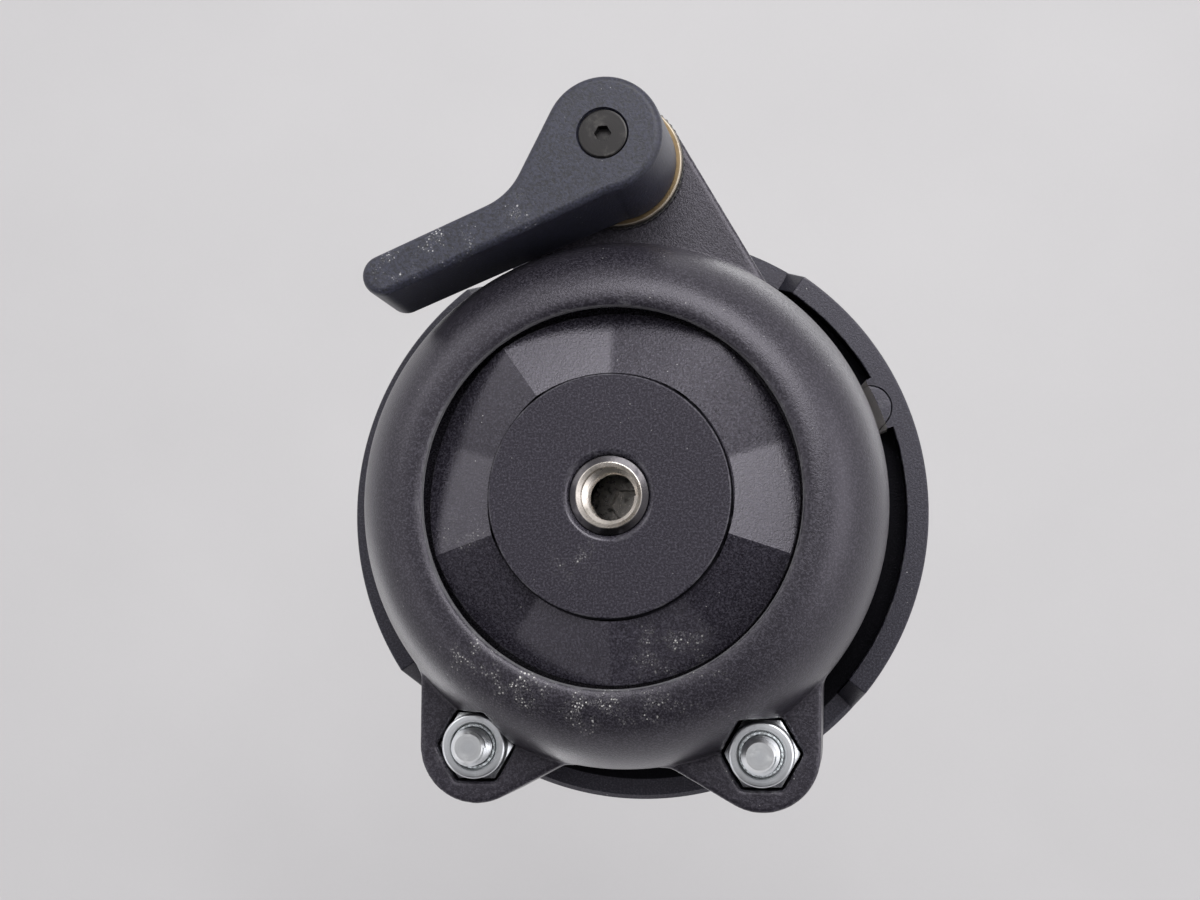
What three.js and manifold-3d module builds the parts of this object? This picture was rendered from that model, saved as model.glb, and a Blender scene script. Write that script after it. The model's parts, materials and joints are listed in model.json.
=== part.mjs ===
// Camera leveler: a ball base clamped by a hinged ring under a turning camera plate.
// Millimetres, +Z up, the base standing on z = 0 and the lever towards -Y.
import * as THREE from 'three';
import { mergeVertices } from 'three/addons/utils/BufferGeometryUtils.js';
import Module from 'manifold-3d';

const wasm = await Module();
wasm.setup();

// Driving dimensions: clearances and cuts
const seatGap = 0.3;
const swingGap = 0.5;
const cutOver = 1;
const edgeBreak = 0.8;

// Ball base
const ballRadius = 38.8;
const ballWall = 5;
const ballTopDrop = 11.8;
const webThickness = 4;
const postHoleRadius = 15.2;
const floorThickness = 10;
const hubRadius = 20;
const hubStep = 0.5;
const flangeInset = 7.8;
const flangeTop = 9;
const ridgeDepth = 3;
const valleyDepth = 6;

// Threaded bush in the hub
const bushRadius = 6.5;
const bushSink = 0.3;
const bushMouthRadius = 5.4;
const bushMouthDepth = 1.4;
const tripodBoreRadius = 4.05;

// Friction band and friction ring
const bandThickness = 1.6;
const ringThickness = 3.2;

// Clamp ring under the plate
const lipGap = 0.4;
const lipBottom = 0.8;
const lipCurl = 1.6;
const lipSeatHeight = 2.367;
const clampWall = 6.7;
const waistDrop = 6;
const ringRise = 8.8;
const armThickness = 13.1;
const armBossRadius = 11.1;
const lugDepth = 18.8;
const lugEndRadius = 9.8;
const pocketDepth = 6.3;

// Hinge bolts and nuts; the bolts and the lever stand off the ring's waist
const hingeOffset = 3.1;
const armOffset = 15.1;
const boltRadius = 3.175;
const boltPlay = 0.5;
const boltTipLength = 4;
const boltTipChamfer = 0.5;
const boltHeadRadius = 4.9;
const boltHeadHeight = 6;
const boltSocketFlats = 4.8;
const boltSocketDepth = 3;
const nutFlats = 11.1;
const nutHeight = 8;
const nutHexHeight = 5.4;
const nutCollarRadius = 5.3;
const nutMouthRadius = 3.75;
const nylonDepth = 2;
const washerThickness = 1.2;
const boltWasherRadius = 5.8;

// Top plate
const rimOverhang = 7.3;
const rimWallThickness = 3.9;
const rimWallHeight = 6.5;
const skirtInset = 2.5;
const skirtGap = 0.2;
const plateGap = 1.2;
const flangeThickness = 6;
const rimFillet = 2;
const domeWall = 4;
const neckHeight = 0.42;
const platformLip = 1.7;
const platformThickness = 3.6;
const postRoom = 7;
const ceilingThickness = 6.5;
const postRadius = 7.5;
const postDrop = 4.6;
const rearLugRadius = 8;

// Bubble level in the rim
const levelInset = 2.6;
const levelTabDepth = 1.9;
const levelStemRadius = 3.8;
const levelCupRadius = 4.4;
const levelCupLip = 0.7;
const vialRadius = 3.3;
const vialWall = 0.5;
const vialHeight = 3.6;
const bubbleRadius = 1.1;
const bubbleThickness = 0.5;
const bubbleWaistShare = 0.9;

// Camera side: pad, stud and the bolt that holds it
const padInset = 1.2;
const padThickness = 2;
const studRadius = 4.76;
const studLength = 8.7;
const studFlangeRadius = 9.9;
const studFlangeThickness = 2.2;
const studBarrelRadius = 5.6;
const studBarrelLength = 12.5;
const coreBoltRadius = 3.7;
const coreHeadRadius = 6.4;
const coreHeadHeight = 8;
const coreSocketFlats = 5.2;
const coreSocketDepth = 4;
const coreBoltEnd = 3;

// Lever with its insert, screw, washers, stud and spring
const leverFace = 0.6;
const leverHubRadius = 10;
const leverFootRadius = 10.9;
const leverLength = 46.4;
const barInner = 2.65;
const barOuter = 9.65;
const barTipHeight = 16;
const leverWeb = 3.4;
const insertRadius = 6.5;
const insertWeb = 2.2;
const insertWebBottom = 8;
const screwHeadRadius = 4.15;
const screwHeadHeight = 2.2;
const screwSink = 0.3;
const screwRadius = 2;
const screwLength = 9;
const screwSocketFlats = 2.5;
const screwSocketDepth = 1.6;
const brassRadius = 11.2;
const brassThickness = 1;
const thrustRadius = 11.5;
const thrustThickness = 0.5;
const clampStudRadius = 3.9;
const clampStudRoom = 1.6;
const studNutFlats = 13;
const studNutHeight = 6.5;
const studNutEnd = 2;
const springRadius = 6.6;
const springWire = 1.1;
const springTurns = 3;
const springPocketDepth = 7.8;

// Angles in degrees, bearings counted from +X towards +Y
const hingeBearing = 91.1;
const hingeSpread = 30.2;
const armBearing = -91;
const leverBearing = 156.8;
const barSlope = 40;
const levelBearing = -23.1;
const levelTabSpread = 6.2;
const lugRootSpread = 19;
const rearLugRootSpread = 10;
const armRootBearings = [-55.7, -114];
const plateArmRootBearings = [-69, -116];
const wallBearings = [[-54, 39], [146, 233]];
const wallRamp = 4.1;
const bandAngles = [-22, -11.5];
const ringAngles = [28, 43.5];
const grooveAngle = -33;
const facetCount = 10;
const ridgeBearing = 18;

// Steps round a full circle
const largeSteps = 50;
const mediumSteps = 24;
const smallSteps = 16;
const arcSteps = 5;
const bandSteps = 3;

// Radii that follow from the ball
const clampBore = ballRadius + swingGap;
const flangeRadius = ballRadius - flangeInset;
const lipRadius = flangeRadius + lipGap;
const waistRadius = ballRadius + clampWall;
const hingeCircleRadius = waistRadius + hingeOffset;
const armCircleRadius = waistRadius + armOffset;
const rimRadius = waistRadius + rimOverhang;
const rimWallRadius = rimRadius - rimWallThickness;
const skirtRadius = waistRadius - skirtInset;
const skirtBore = ballRadius + skirtGap;
const levelCircleRadius = rimWallRadius - levelInset;
const levelTabRadius = rimWallRadius - levelTabDepth;
const bandInner = ballRadius + seatGap;
const bandOuter = bandInner + bandThickness;
const grooveRadius = bandOuter + seatGap;
const ringSeatRadius = bandInner + ringThickness + seatGap;
const domeRadius = ringSeatRadius + domeWall;

// Heights that follow from the ball
const ballHeight = lipSeatHeight + Math.sqrt(clampBore ** 2 - lipRadius ** 2);
const ballTop = ballHeight + ballRadius - ballTopDrop;
const waistHeight = ballHeight - waistDrop;
const ringTop = ballHeight + ringRise;
const armFace = ringTop - armThickness;
const lugFace = ringTop - lugDepth;
const nutFloor = lugFace + pocketDepth;
const nutBottom = nutFloor - seatGap - nutHeight;
const boltTip = nutBottom - boltTipLength;
const springSeat = ringTop - springPocketDepth;
const plateBottom = ringTop + plateGap;
const channelTop = plateBottom + rimWallHeight;
const flangeFace = channelTop + flangeThickness;
const postBottom = ballHeight + postDrop;
const ceiling = ballTop + postRoom;
const platformTop = ceiling + ceilingThickness;
const neckTop = platformTop - platformThickness;
const neckRadius = Math.sqrt(domeRadius ** 2 - (neckTop - neckHeight - ballHeight) ** 2);
const platformRadius = neckRadius + platformLip;
const padRadius = platformRadius - padInset;
const studBarrelBottom = platformTop - studBarrelLength;

// The washers fill the room between the lever's foot and the arm
const thrustBottom = armFace - seatGap - thrustThickness;
const brassBottom = thrustBottom - seatGap - brassThickness;
const leverFoot = brassBottom - seatGap;
const leverHeight = leverFoot - leverFace;

const radians = THREE.MathUtils.degToRad;
const polar = (reach, bearing) =>
  new THREE.Vector2(reach * Math.cos(radians(bearing)), reach * Math.sin(radians(bearing)));

const leverAxis = polar(armCircleRadius, armBearing);
const hingeLeft = polar(hingeCircleRadius, hingeBearing + hingeSpread);
const hingeRight = polar(hingeCircleRadius, hingeBearing - hingeSpread);
const levelAxis = polar(levelCircleRadius, levelBearing);

// Closed geometry with shared corners, empty triangles dropped and its faces turned outwards
function closed(source) {
  const bare = source.clone();
  bare.deleteAttribute('normal');
  bare.deleteAttribute('uv');
  const merged = mergeVertices(bare);
  const corners = merged.index.array;
  const place = merged.attributes.position;
  const kept = [];
  let volume = 0;
  const [a, b, c] = [new THREE.Vector3(), new THREE.Vector3(), new THREE.Vector3()];
  for (let i = 0; i < corners.length; i += 3) {
    const [p, q, r] = corners.slice(i, i + 3);
    if (p === q || q === r || r === p) continue;
    kept.push(p, q, r);
    a.fromBufferAttribute(place, p);
    b.fromBufferAttribute(place, q);
    c.fromBufferAttribute(place, r);
    volume += a.dot(b.cross(c));
  }
  if (volume < 0) kept.reverse();
  merged.setIndex(kept);
  return merged;
}

// Manifold solid of a closed geometry
function solid(source) {
  const shape = closed(source);
  return new wasm.Manifold(new wasm.Mesh({
    numProp: 3,
    vertProperties: new Float32Array(shape.attributes.position.array),
    triVerts: new Uint32Array(shape.index.array),
  }));
}

// Geometry of a manifold solid
function skin(body) {
  const mesh = body.getMesh();
  const shape = new THREE.BufferGeometry();
  shape.setAttribute('position', new THREE.BufferAttribute(new Float32Array(mesh.vertProperties), 3));
  shape.setIndex(Array.from(mesh.triVerts));
  return shape;
}

const joined = (bodies) => bodies.reduce((whole, body) => whole.add(body));

// Turned solid from an outline of [radius, height] pairs, which closes on itself
function turned(outline, steps) {
  const points = outline.map(([radius, height]) => new THREE.Vector2(radius, height));
  points.push(points[0].clone());
  return new THREE.LatheGeometry(points, steps).rotateX(Math.PI / 2);
}

// Upright cylinder or tube between two heights
function post(radius, bottom, top, steps, bore = 0) {
  if (bore > 0) return turned([[bore, bottom], [radius, bottom], [radius, top], [bore, top]], steps);
  return turned([[0, bottom], [radius, bottom], [radius, top], [0, top]], steps);
}

// Upright prism of a flat shape between two heights
function prism(shape, bottom, top, steps = smallSteps) {
  return new THREE.ExtrudeGeometry(shape, {
    depth: top - bottom, bevelEnabled: false, curveSegments: steps,
  }).translate(0, 0, bottom);
}

// Hexagon measured across its flats, with a corner on +X
function hexagon(flats) {
  const corner = flats / 2 / Math.cos(Math.PI / 6);
  const shape = new THREE.Shape();
  for (let side = 0; side < 6; side += 1) {
    const point = polar(corner, side * 60);
    if (side === 0) shape.moveTo(point.x, point.y);
    else shape.lineTo(point.x, point.y);
  }
  shape.closePath();
  return shape;
}

// Points of an arc about the ball's centre, between two latitudes, as [radius, height]
function latitudeArc(radius, from, to, steps = arcSteps) {
  const points = [];
  for (let step = 0; step <= steps; step += 1) {
    const latitude = radians(from + (to - from) * step / steps);
    points.push([radius * Math.cos(latitude), ballHeight + radius * Math.sin(latitude)]);
  }
  return points;
}

// Points of a quarter ellipse about a centre, between two angles, as [radius, height]
function ellipseArc(centre, halfWidth, halfHeight, from, to, steps = arcSteps) {
  const points = [];
  for (let step = 0; step <= steps; step += 1) {
    const angle = radians(from + (to - from) * step / steps);
    points.push([centre[0] + halfWidth * Math.cos(angle), centre[1] + halfHeight * Math.sin(angle)]);
  }
  return points;
}

const latitudeAt = (radius, height) =>
  THREE.MathUtils.radToDeg(Math.asin((height - ballHeight) / radius));

// Lug outline: a round end about a centre, with straight flanks from two root points
function lugShape(centre, endRadius, rootFrom, rootTo) {
  const flank = (root, side) => {
    const toCentre = centre.clone().sub(root);
    const lean = Math.asin(endRadius / toCentre.length());
    return toCentre.angle() - side * (lean + Math.PI / 2);
  };
  const shape = new THREE.Shape();
  shape.moveTo(0, 0);
  shape.lineTo(rootFrom.x, rootFrom.y);
  shape.absarc(centre.x, centre.y, endRadius, flank(rootFrom, 1), flank(rootTo, -1), false);
  shape.lineTo(rootTo.x, rootTo.y);
  shape.closePath();
  return shape;
}

// Ring sector between two bearings
function sector(inner, outer, bearings) {
  const [from, to] = bearings.map(radians);
  const shape = new THREE.Shape();
  shape.absarc(0, 0, outer, from, to, false);
  shape.absarc(0, 0, inner, to, from, true);
  shape.closePath();
  return shape;
}

const shifted = (geometry, place) => geometry.translate(place.x, place.y, 0);

function ballBase() {
  const innerRadius = ballRadius - ballWall;
  const webBottom = ballTop - webThickness;
  const innerLatitudes = [webBottom, floorThickness].map((height) => latitudeAt(innerRadius, height));
  const body = solid(turned([
    [bushRadius + seatGap, 0],
    [flangeRadius, 0],
    [flangeRadius, flangeTop],
    ...latitudeArc(ballRadius, latitudeAt(ballRadius, flangeTop), latitudeAt(ballRadius, ballTop)),
    [postHoleRadius, ballTop],
    [postHoleRadius, webBottom],
    ...latitudeArc(innerRadius, ...innerLatitudes),
    [bushRadius + seatGap, floorThickness],
  ], largeSteps));

  // One pyramid cuts the facets, its edges rising along the ridges and more steeply along the valleys
  const ridgeSlope = (ridgeDepth - hubStep) / (flangeRadius - hubRadius);
  const valleySlope = ridgeSlope + (valleyDepth - ridgeDepth) / flangeRadius;
  const apex = hubStep - ridgeSlope * hubRadius;
  const foot = apex - cutOver;
  const corner = (flangeRadius + cutOver) / Math.cos(Math.PI / facetCount);
  const pyramid = turned([[0, foot], [corner, foot], [corner, 0], [0, apex]], facetCount);
  pyramid.rotateZ(radians(ridgeBearing) + Math.PI / 2);
  const place = pyramid.attributes.position;
  for (let i = 0; i < place.count; i += 1) {
    if (Math.abs(place.getZ(i)) > Math.abs(apex) / 2) continue;
    const bearing = Math.atan2(place.getY(i), place.getX(i)) - radians(ridgeBearing);
    const facet = Math.round(bearing / (2 * Math.PI / facetCount));
    place.setZ(i, apex + corner * (facet % 2 === 0 ? ridgeSlope : valleySlope));
  }
  const hub = solid(post(hubRadius, foot - cutOver, valleyDepth + cutOver, largeSteps));
  return skin(body.subtract(solid(pyramid).subtract(hub)));
}

function baseBush() {
  return turned([
    [tripodBoreRadius, bushSink + bushMouthDepth],
    [bushMouthRadius, bushSink],
    [bushRadius, bushSink],
    [bushRadius, floorThickness],
    [tripodBoreRadius, floorThickness],
  ], mediumSteps);
}

// Ring between two spheres about the ball's centre
function ballBand(thickness, [low, high]) {
  return turned([
    ...latitudeArc(bandInner + thickness, low, high, bandSteps),
    ...latitudeArc(bandInner, high, low, bandSteps),
  ], largeSteps);
}

function clampRing() {
  const noseRadius = lipRadius + lipCurl;
  const lipSeat = latitudeAt(clampBore, lipSeatHeight);
  const ring = solid(turned([
    ...latitudeArc(clampBore, grooveAngle, lipSeat),
    [lipRadius, lipBottom + lipCurl / 2],
    [lipRadius + lipCurl / 2, lipBottom + lipCurl / 8],
    ...ellipseArc([noseRadius, waistHeight], waistRadius - noseRadius, waistHeight - lipBottom, -90, 0),
    [waistRadius, ringTop - edgeBreak],
    [waistRadius - edgeBreak, ringTop],
    [grooveRadius, ringTop],
    ...latitudeArc(grooveRadius, 0, grooveAngle),
  ], largeSteps));
  const lugTop = plateBottom - seatGap;
  const lugs = [hingeLeft, hingeRight].map((bolt, index) => {
    const bearing = hingeBearing + (index === 0 ? hingeSpread : -hingeSpread);
    const roots = [-lugRootSpread, lugRootSpread].map((turn) => polar(waistRadius, bearing + turn));
    return solid(prism(lugShape(bolt, lugEndRadius, roots[0], roots[1]), lugFace, lugTop));
  });
  const armRoots = armRootBearings.map((bearing) => polar(waistRadius, bearing));
  const arm = solid(prism(lugShape(leverAxis, armBossRadius, armRoots[1], armRoots[0]), armFace, ringTop));
  const hollow = solid(post(waistRadius - edgeBreak, -cutOver, ringTop + cutOver, largeSteps));
  const ears = joined([...lugs, arm]).subtract(hollow);

  const cuts = [];
  for (const bolt of [hingeLeft, hingeRight]) {
    const pocket = hexagon(nutFlats + 2 * boltPlay);
    cuts.push(solid(shifted(prism(pocket, -cutOver, nutFloor), bolt)));
    cuts.push(solid(shifted(post(boltRadius + boltPlay, 0, lugTop + cutOver, smallSteps), bolt)));
  }
  cuts.push(solid(shifted(post(clampStudRadius + boltPlay, 0, ringTop + cutOver, smallSteps), leverAxis)));
  const springPocket = post(springRadius + seatGap, springSeat, ringTop + cutOver, smallSteps);
  cuts.push(solid(shifted(springPocket, leverAxis)));
  return skin(ring.add(ears).subtract(joined(cuts)));
}

// Stretch of wall under the rim, whose two end faces slope out to the flange
function rimWall([from, to]) {
  const outline = sector(rimWallRadius, rimRadius, [from, to]);
  const middle = radians((from + to) / 2);
  const wall = prism(outline, plateBottom, channelTop + edgeBreak, mediumSteps).rotateZ(-middle);
  const stretch = 1 + 2 * wallRamp / (to - from);
  const place = wall.attributes.position;
  for (let i = 0; i < place.count; i += 1) {
    if (place.getZ(i) < channelTop) continue;
    const point = new THREE.Vector2(place.getX(i), place.getY(i));
    const bearing = Math.atan2(point.y, point.x) * stretch;
    place.setXY(i, point.length() * Math.cos(bearing), point.length() * Math.sin(bearing));
  }
  return wall.rotateZ(middle);
}

function topPlate() {
  const [ringLow, ringHigh] = ringAngles;
  const ringEnd = latitudeArc(bandInner, ringLow, ringHigh)[arcSteps][0] - seatGap;
  const seatTurn = THREE.MathUtils.radToDeg(seatGap / ringSeatRadius);
  const seatArc = latitudeArc(ringSeatRadius, ringHigh + seatTurn, ringLow - seatTurn, bandSteps);
  const neckLatitude = THREE.MathUtils.radToDeg(Math.acos(neckRadius / domeRadius));
  const body = solid(turned([
    [coreBoltRadius + seatGap, postBottom],
    [postRadius, postBottom],
    [postRadius, ceiling],
    [ringEnd, ceiling],
    [ringEnd, seatArc[0][1]],
    ...seatArc,
    [skirtBore, seatArc[bandSteps][1]],
    [skirtBore, plateBottom],
    [skirtRadius, plateBottom],
    [skirtRadius, channelTop],
    [rimRadius - edgeBreak, channelTop],
    [rimRadius, channelTop + edgeBreak],
    ...ellipseArc([rimRadius - rimFillet, flangeFace - rimFillet], rimFillet, rimFillet, 0, 90, bandSteps),
    ...latitudeArc(domeRadius, latitudeAt(domeRadius, flangeFace), neckLatitude),
    [neckRadius, neckTop],
    [platformRadius, neckTop + edgeBreak],
    [platformRadius, platformTop - edgeBreak],
    [platformRadius - edgeBreak, platformTop],
    [studFlangeRadius + seatGap, platformTop],
    [studFlangeRadius + seatGap, platformTop - studFlangeThickness],
    [studBarrelRadius + seatGap, platformTop - studFlangeThickness],
    [studBarrelRadius + seatGap, studBarrelBottom - seatGap],
    [coreBoltRadius + seatGap, studBarrelBottom - seatGap],
  ], largeSteps));

  const ears = [hingeLeft, hingeRight].map((bolt, index) => {
    const bearing = hingeBearing + (index === 0 ? hingeSpread : -hingeSpread);
    const reach = rimRadius - edgeBreak;
    const roots = [-rearLugRootSpread, rearLugRootSpread].map((turn) => polar(reach, bearing + turn));
    return solid(prism(lugShape(bolt, rearLugRadius, roots[0], roots[1]), plateBottom, flangeFace));
  });
  const armRoots = plateArmRootBearings.map((bearing) => polar(rimRadius - edgeBreak, bearing));
  const arm = lugShape(leverAxis, armBossRadius, armRoots[1], armRoots[0]);
  ears.push(solid(prism(arm, plateBottom, flangeFace)));
  const core = solid(post(skirtRadius, 0, platformTop, largeSteps));

  const tab = solid(prism(sector(levelTabRadius, rimWallRadius + cutOver, [
    levelBearing - levelTabSpread, levelBearing + levelTabSpread]), plateBottom, channelTop + cutOver));
  const cuts = [];
  for (const bolt of [hingeLeft, hingeRight]) {
    cuts.push(solid(shifted(post(boltRadius + seatGap, 0, flangeFace + cutOver, smallSteps), bolt)));
  }
  const studHole = post(clampStudRadius + seatGap, 0, flangeFace + cutOver, smallSteps);
  cuts.push(solid(shifted(studHole, leverAxis)));
  const stemHole = post(levelStemRadius + seatGap, plateBottom - cutOver, channelTop + cutOver, smallSteps);
  const cupHole = post(levelCupRadius + seatGap, channelTop + seatGap, flangeFace + cutOver, smallSteps);
  const levelHole = [stemHole, cupHole].map((hole) => solid(shifted(hole, levelAxis)));
  const walls = joined(wallBearings.map((bearings) => solid(rimWall(bearings))));
  const plate = body.add(joined(ears).subtract(core)).add(walls).subtract(joined(cuts));
  return skin(plate.add(tab).subtract(joined(levelHole)));
}

function hingeBolt() {
  const headBottom = flangeFace + 2 * seatGap + washerThickness;
  const shank = solid(turned([
    [0, boltTip],
    [boltRadius - boltTipChamfer, boltTip],
    [boltRadius, boltTip + boltTipChamfer],
    [boltRadius, headBottom + boltTipChamfer],
    [boltHeadRadius, headBottom],
    [boltHeadRadius, headBottom + boltHeadHeight - boltTipChamfer],
    [boltHeadRadius - boltTipChamfer, headBottom + boltHeadHeight],
    [0, headBottom + boltHeadHeight],
  ], smallSteps));
  const headTop = headBottom + boltHeadHeight;
  const socket = prism(hexagon(boltSocketFlats), headTop - boltSocketDepth, headTop + cutOver);
  return skin(shank.subtract(solid(socket)));
}

function boltWasher() {
  const bottom = flangeFace + seatGap;
  return post(boltWasherRadius, bottom, bottom + washerThickness, smallSteps, boltRadius + seatGap);
}

function hingeNut() {
  const top = nutFloor - seatGap;
  const hex = solid(prism(hexagon(nutFlats), top - nutHexHeight, top));
  const collar = solid(post(nutCollarRadius, nutBottom, top - nutHexHeight / 2, smallSteps));
  const bore = solid(post(boltRadius + seatGap / 2, 0, top + cutOver, smallSteps));
  const mouth = solid(post(nutMouthRadius + seatGap, 0, nutBottom + nylonDepth + seatGap, smallSteps));
  return skin(hex.add(collar).subtract(bore).subtract(mouth));
}

function nylonRing() {
  const bore = boltRadius + seatGap / 2;
  return post(nutMouthRadius, nutBottom + seatGap, nutBottom + nylonDepth, smallSteps, bore);
}

function platformPad() {
  const bottom = platformTop + seatGap;
  return post(padRadius, bottom, bottom + padThickness, largeSteps, studRadius + edgeBreak);
}

function cameraStud() {
  const flangeBottom = platformTop - studFlangeThickness + seatGap;
  const top = platformTop + padThickness + studLength;
  return turned([
    [coreBoltRadius + seatGap, studBarrelBottom],
    [studBarrelRadius, studBarrelBottom],
    [studBarrelRadius, flangeBottom],
    [studFlangeRadius, flangeBottom],
    [studFlangeRadius, platformTop],
    [studRadius, platformTop],
    [studRadius, top - edgeBreak],
    [studRadius - edgeBreak, top],
    [0, top],
    [0, platformTop + seatGap],
    [coreBoltRadius + seatGap, platformTop - coreBoltEnd + seatGap],
  ], mediumSteps);
}

function coreBolt() {
  const headBottom = postBottom - coreHeadHeight;
  const shank = solid(turned([
    [0, headBottom],
    [coreHeadRadius - boltTipChamfer, headBottom],
    [coreHeadRadius, headBottom + boltTipChamfer],
    [coreHeadRadius, postBottom - seatGap],
    [coreBoltRadius, postBottom - seatGap],
    [coreBoltRadius, platformTop - coreBoltEnd],
    [0, platformTop - coreBoltEnd],
  ], mediumSteps));
  return skin(shank.subtract(solid(prism(hexagon(coreSocketFlats), 0, headBottom + coreSocketDepth))));
}

function levelCup() {
  const top = flangeFace + levelCupLip;
  const cup = joined([
    solid(post(levelCupRadius, channelTop + 2 * seatGap, top, smallSteps)),
    solid(post(levelStemRadius, plateBottom, channelTop + 3 * seatGap, smallSteps)),
  ]).translate([levelAxis.x, levelAxis.y, 0]);
  const boreBottom = top - levelCupLip - vialHeight - seatGap;
  const bore = solid(shifted(post(vialRadius + seatGap, boreBottom, top + cutOver, smallSteps), levelAxis));
  const open = [levelBearing - 3 * levelTabSpread, levelBearing + 3 * levelTabSpread];
  const flat = solid(prism(sector(skirtRadius - levelStemRadius, levelTabRadius, open), 0, channelTop));
  return skin(cup.subtract(bore).subtract(flat));
}

const vialTop = flangeFace;

function levelVial() {
  return turned([
    [vialRadius - vialWall, vialTop - vialHeight],
    [vialRadius, vialTop - vialHeight],
    [vialRadius, vialTop],
    [0, vialTop],
    [0, vialTop - vialWall],
    [vialRadius - vialWall, vialTop - vialWall],
  ], smallSteps);
}

function levelFluid() {
  const reach = vialRadius - vialWall - seatGap / 3;
  const top = vialTop - vialWall - bubbleThickness / 2;
  return turned([
    [0, vialTop - vialHeight],
    [reach, vialTop - vialHeight],
    [reach, top],
    [bubbleRadius + seatGap, top],
    [bubbleRadius, top - bubbleThickness],
    [0, top - bubbleThickness],
  ], smallSteps);
}

function levelBubble() {
  const bottom = vialTop - vialWall - bubbleThickness - seatGap / 3;
  return turned([
    [0, bottom],
    [bubbleRadius / 2, bottom],
    [bubbleRadius * bubbleWaistShare, bottom + bubbleThickness / 2],
    [bubbleRadius / 2, bottom + bubbleThickness],
    [0, bottom + bubbleThickness],
  ], smallSteps);
}

// Lever outline about its own axis, the bar along +X and its ring side towards +Y
function leverShape() {
  const tipRadius = (barOuter - barInner) / 2;
  const turn = radians(barSlope);
  const neck = leverHubRadius;
  const shape = new THREE.Shape();
  shape.moveTo(Math.sqrt(neck ** 2 - barOuter ** 2), barOuter);
  shape.absarc(0, 0, neck, Math.asin(barOuter / neck), turn + 3 * Math.PI / 2, false);
  const start = new THREE.Vector2(Math.sin(turn), -Math.cos(turn)).multiplyScalar(neck);
  const along = new THREE.Vector2(Math.cos(turn), Math.sin(turn));
  const knee = start.clone().addScaledVector(along, (barInner - start.y) / along.y);
  const ease = tipRadius * 2;
  shape.lineTo(knee.x - ease * along.x, knee.y - ease * along.y);
  shape.quadraticCurveTo(knee.x, knee.y, knee.x + ease, knee.y);
  shape.absarc(leverLength - tipRadius, barInner + tipRadius, tipRadius, -Math.PI / 2, Math.PI / 2, false);
  shape.closePath();
  return shape;
}

function lockLever() {
  const bar = prism(leverShape(), leverFace, leverFoot).scale(1, -1, 1);
  const place = bar.attributes.position;
  for (let i = 0; i < place.count; i += 1) {
    const reach = place.getX(i);
    if (place.getZ(i) > leverFace + leverHeight / 2 && reach > leverFootRadius) {
      const share = (reach - leverFootRadius) / (leverLength - leverFootRadius);
      place.setZ(i, leverFoot - (leverHeight - barTipHeight) * share);
    }
  }
  const hub = turned([
    [0, leverFace], [leverHubRadius, leverFace], [leverFootRadius, leverFoot], [0, leverFoot],
  ], mediumSteps);
  const seat = leverFace + screwSink + screwHeadHeight;
  const sink = turned([
    [0, leverFace - cutOver],
    [screwHeadRadius + seatGap, leverFace - cutOver],
    [screwHeadRadius + seatGap, leverFace + screwSink + seatGap],
    [screwRadius + seatGap, seat + seatGap],
    [screwRadius + seatGap, leverFoot],
    [0, leverFoot],
  ], smallSteps);
  const bore = post(insertRadius + seatGap, leverFace + leverWeb, leverFoot + cutOver, smallSteps);
  return skin(solid(bar).add(solid(hub)).subtract(solid(sink)).subtract(solid(bore)));
}

function leverInsert() {
  const bottom = leverFace + leverWeb + seatGap;
  const web = bottom + insertWebBottom;
  return turned([
    [screwRadius + seatGap, bottom],
    [insertRadius, bottom],
    [insertRadius, leverFoot],
    [clampStudRadius + seatGap, leverFoot],
    [clampStudRadius + seatGap, web],
    [0, web],
    [0, web - insertWeb],
    [screwRadius + seatGap, web - insertWeb],
  ], smallSteps);
}

function leverScrew() {
  const face = leverFace + screwSink;
  const body = solid(turned([
    [0, face],
    [screwHeadRadius, face],
    [screwRadius, face + screwHeadHeight],
    [screwRadius, face + screwLength],
    [0, face + screwLength],
  ], smallSteps));
  return skin(body.subtract(solid(prism(hexagon(screwSocketFlats), 0, face + screwSocketDepth))));
}

function brassWasher() {
  const bore = clampStudRadius + seatGap;
  return post(brassRadius, brassBottom, brassBottom + brassThickness, mediumSteps, bore);
}

function thrustWasher() {
  const bore = clampStudRadius + seatGap;
  return post(thrustRadius, thrustBottom, thrustBottom + thrustThickness, mediumSteps, bore);
}

function clampStud() {
  const bottom = leverFace + leverWeb + seatGap + insertWebBottom + clampStudRoom;
  const top = flangeFace + studNutHeight + studNutEnd;
  return turned([
    [0, bottom],
    [clampStudRadius - boltTipChamfer, bottom],
    [clampStudRadius, bottom + boltTipChamfer],
    [clampStudRadius, top - boltTipChamfer],
    [clampStudRadius - boltTipChamfer, top],
    [0, top],
  ], smallSteps);
}

function studNut() {
  const bottom = flangeFace + seatGap;
  const bore = solid(post(clampStudRadius + seatGap / 2, 0, bottom + studNutHeight + cutOver, smallSteps));
  return skin(solid(prism(hexagon(studNutFlats), bottom, bottom + studNutHeight)).subtract(bore));
}

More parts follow.
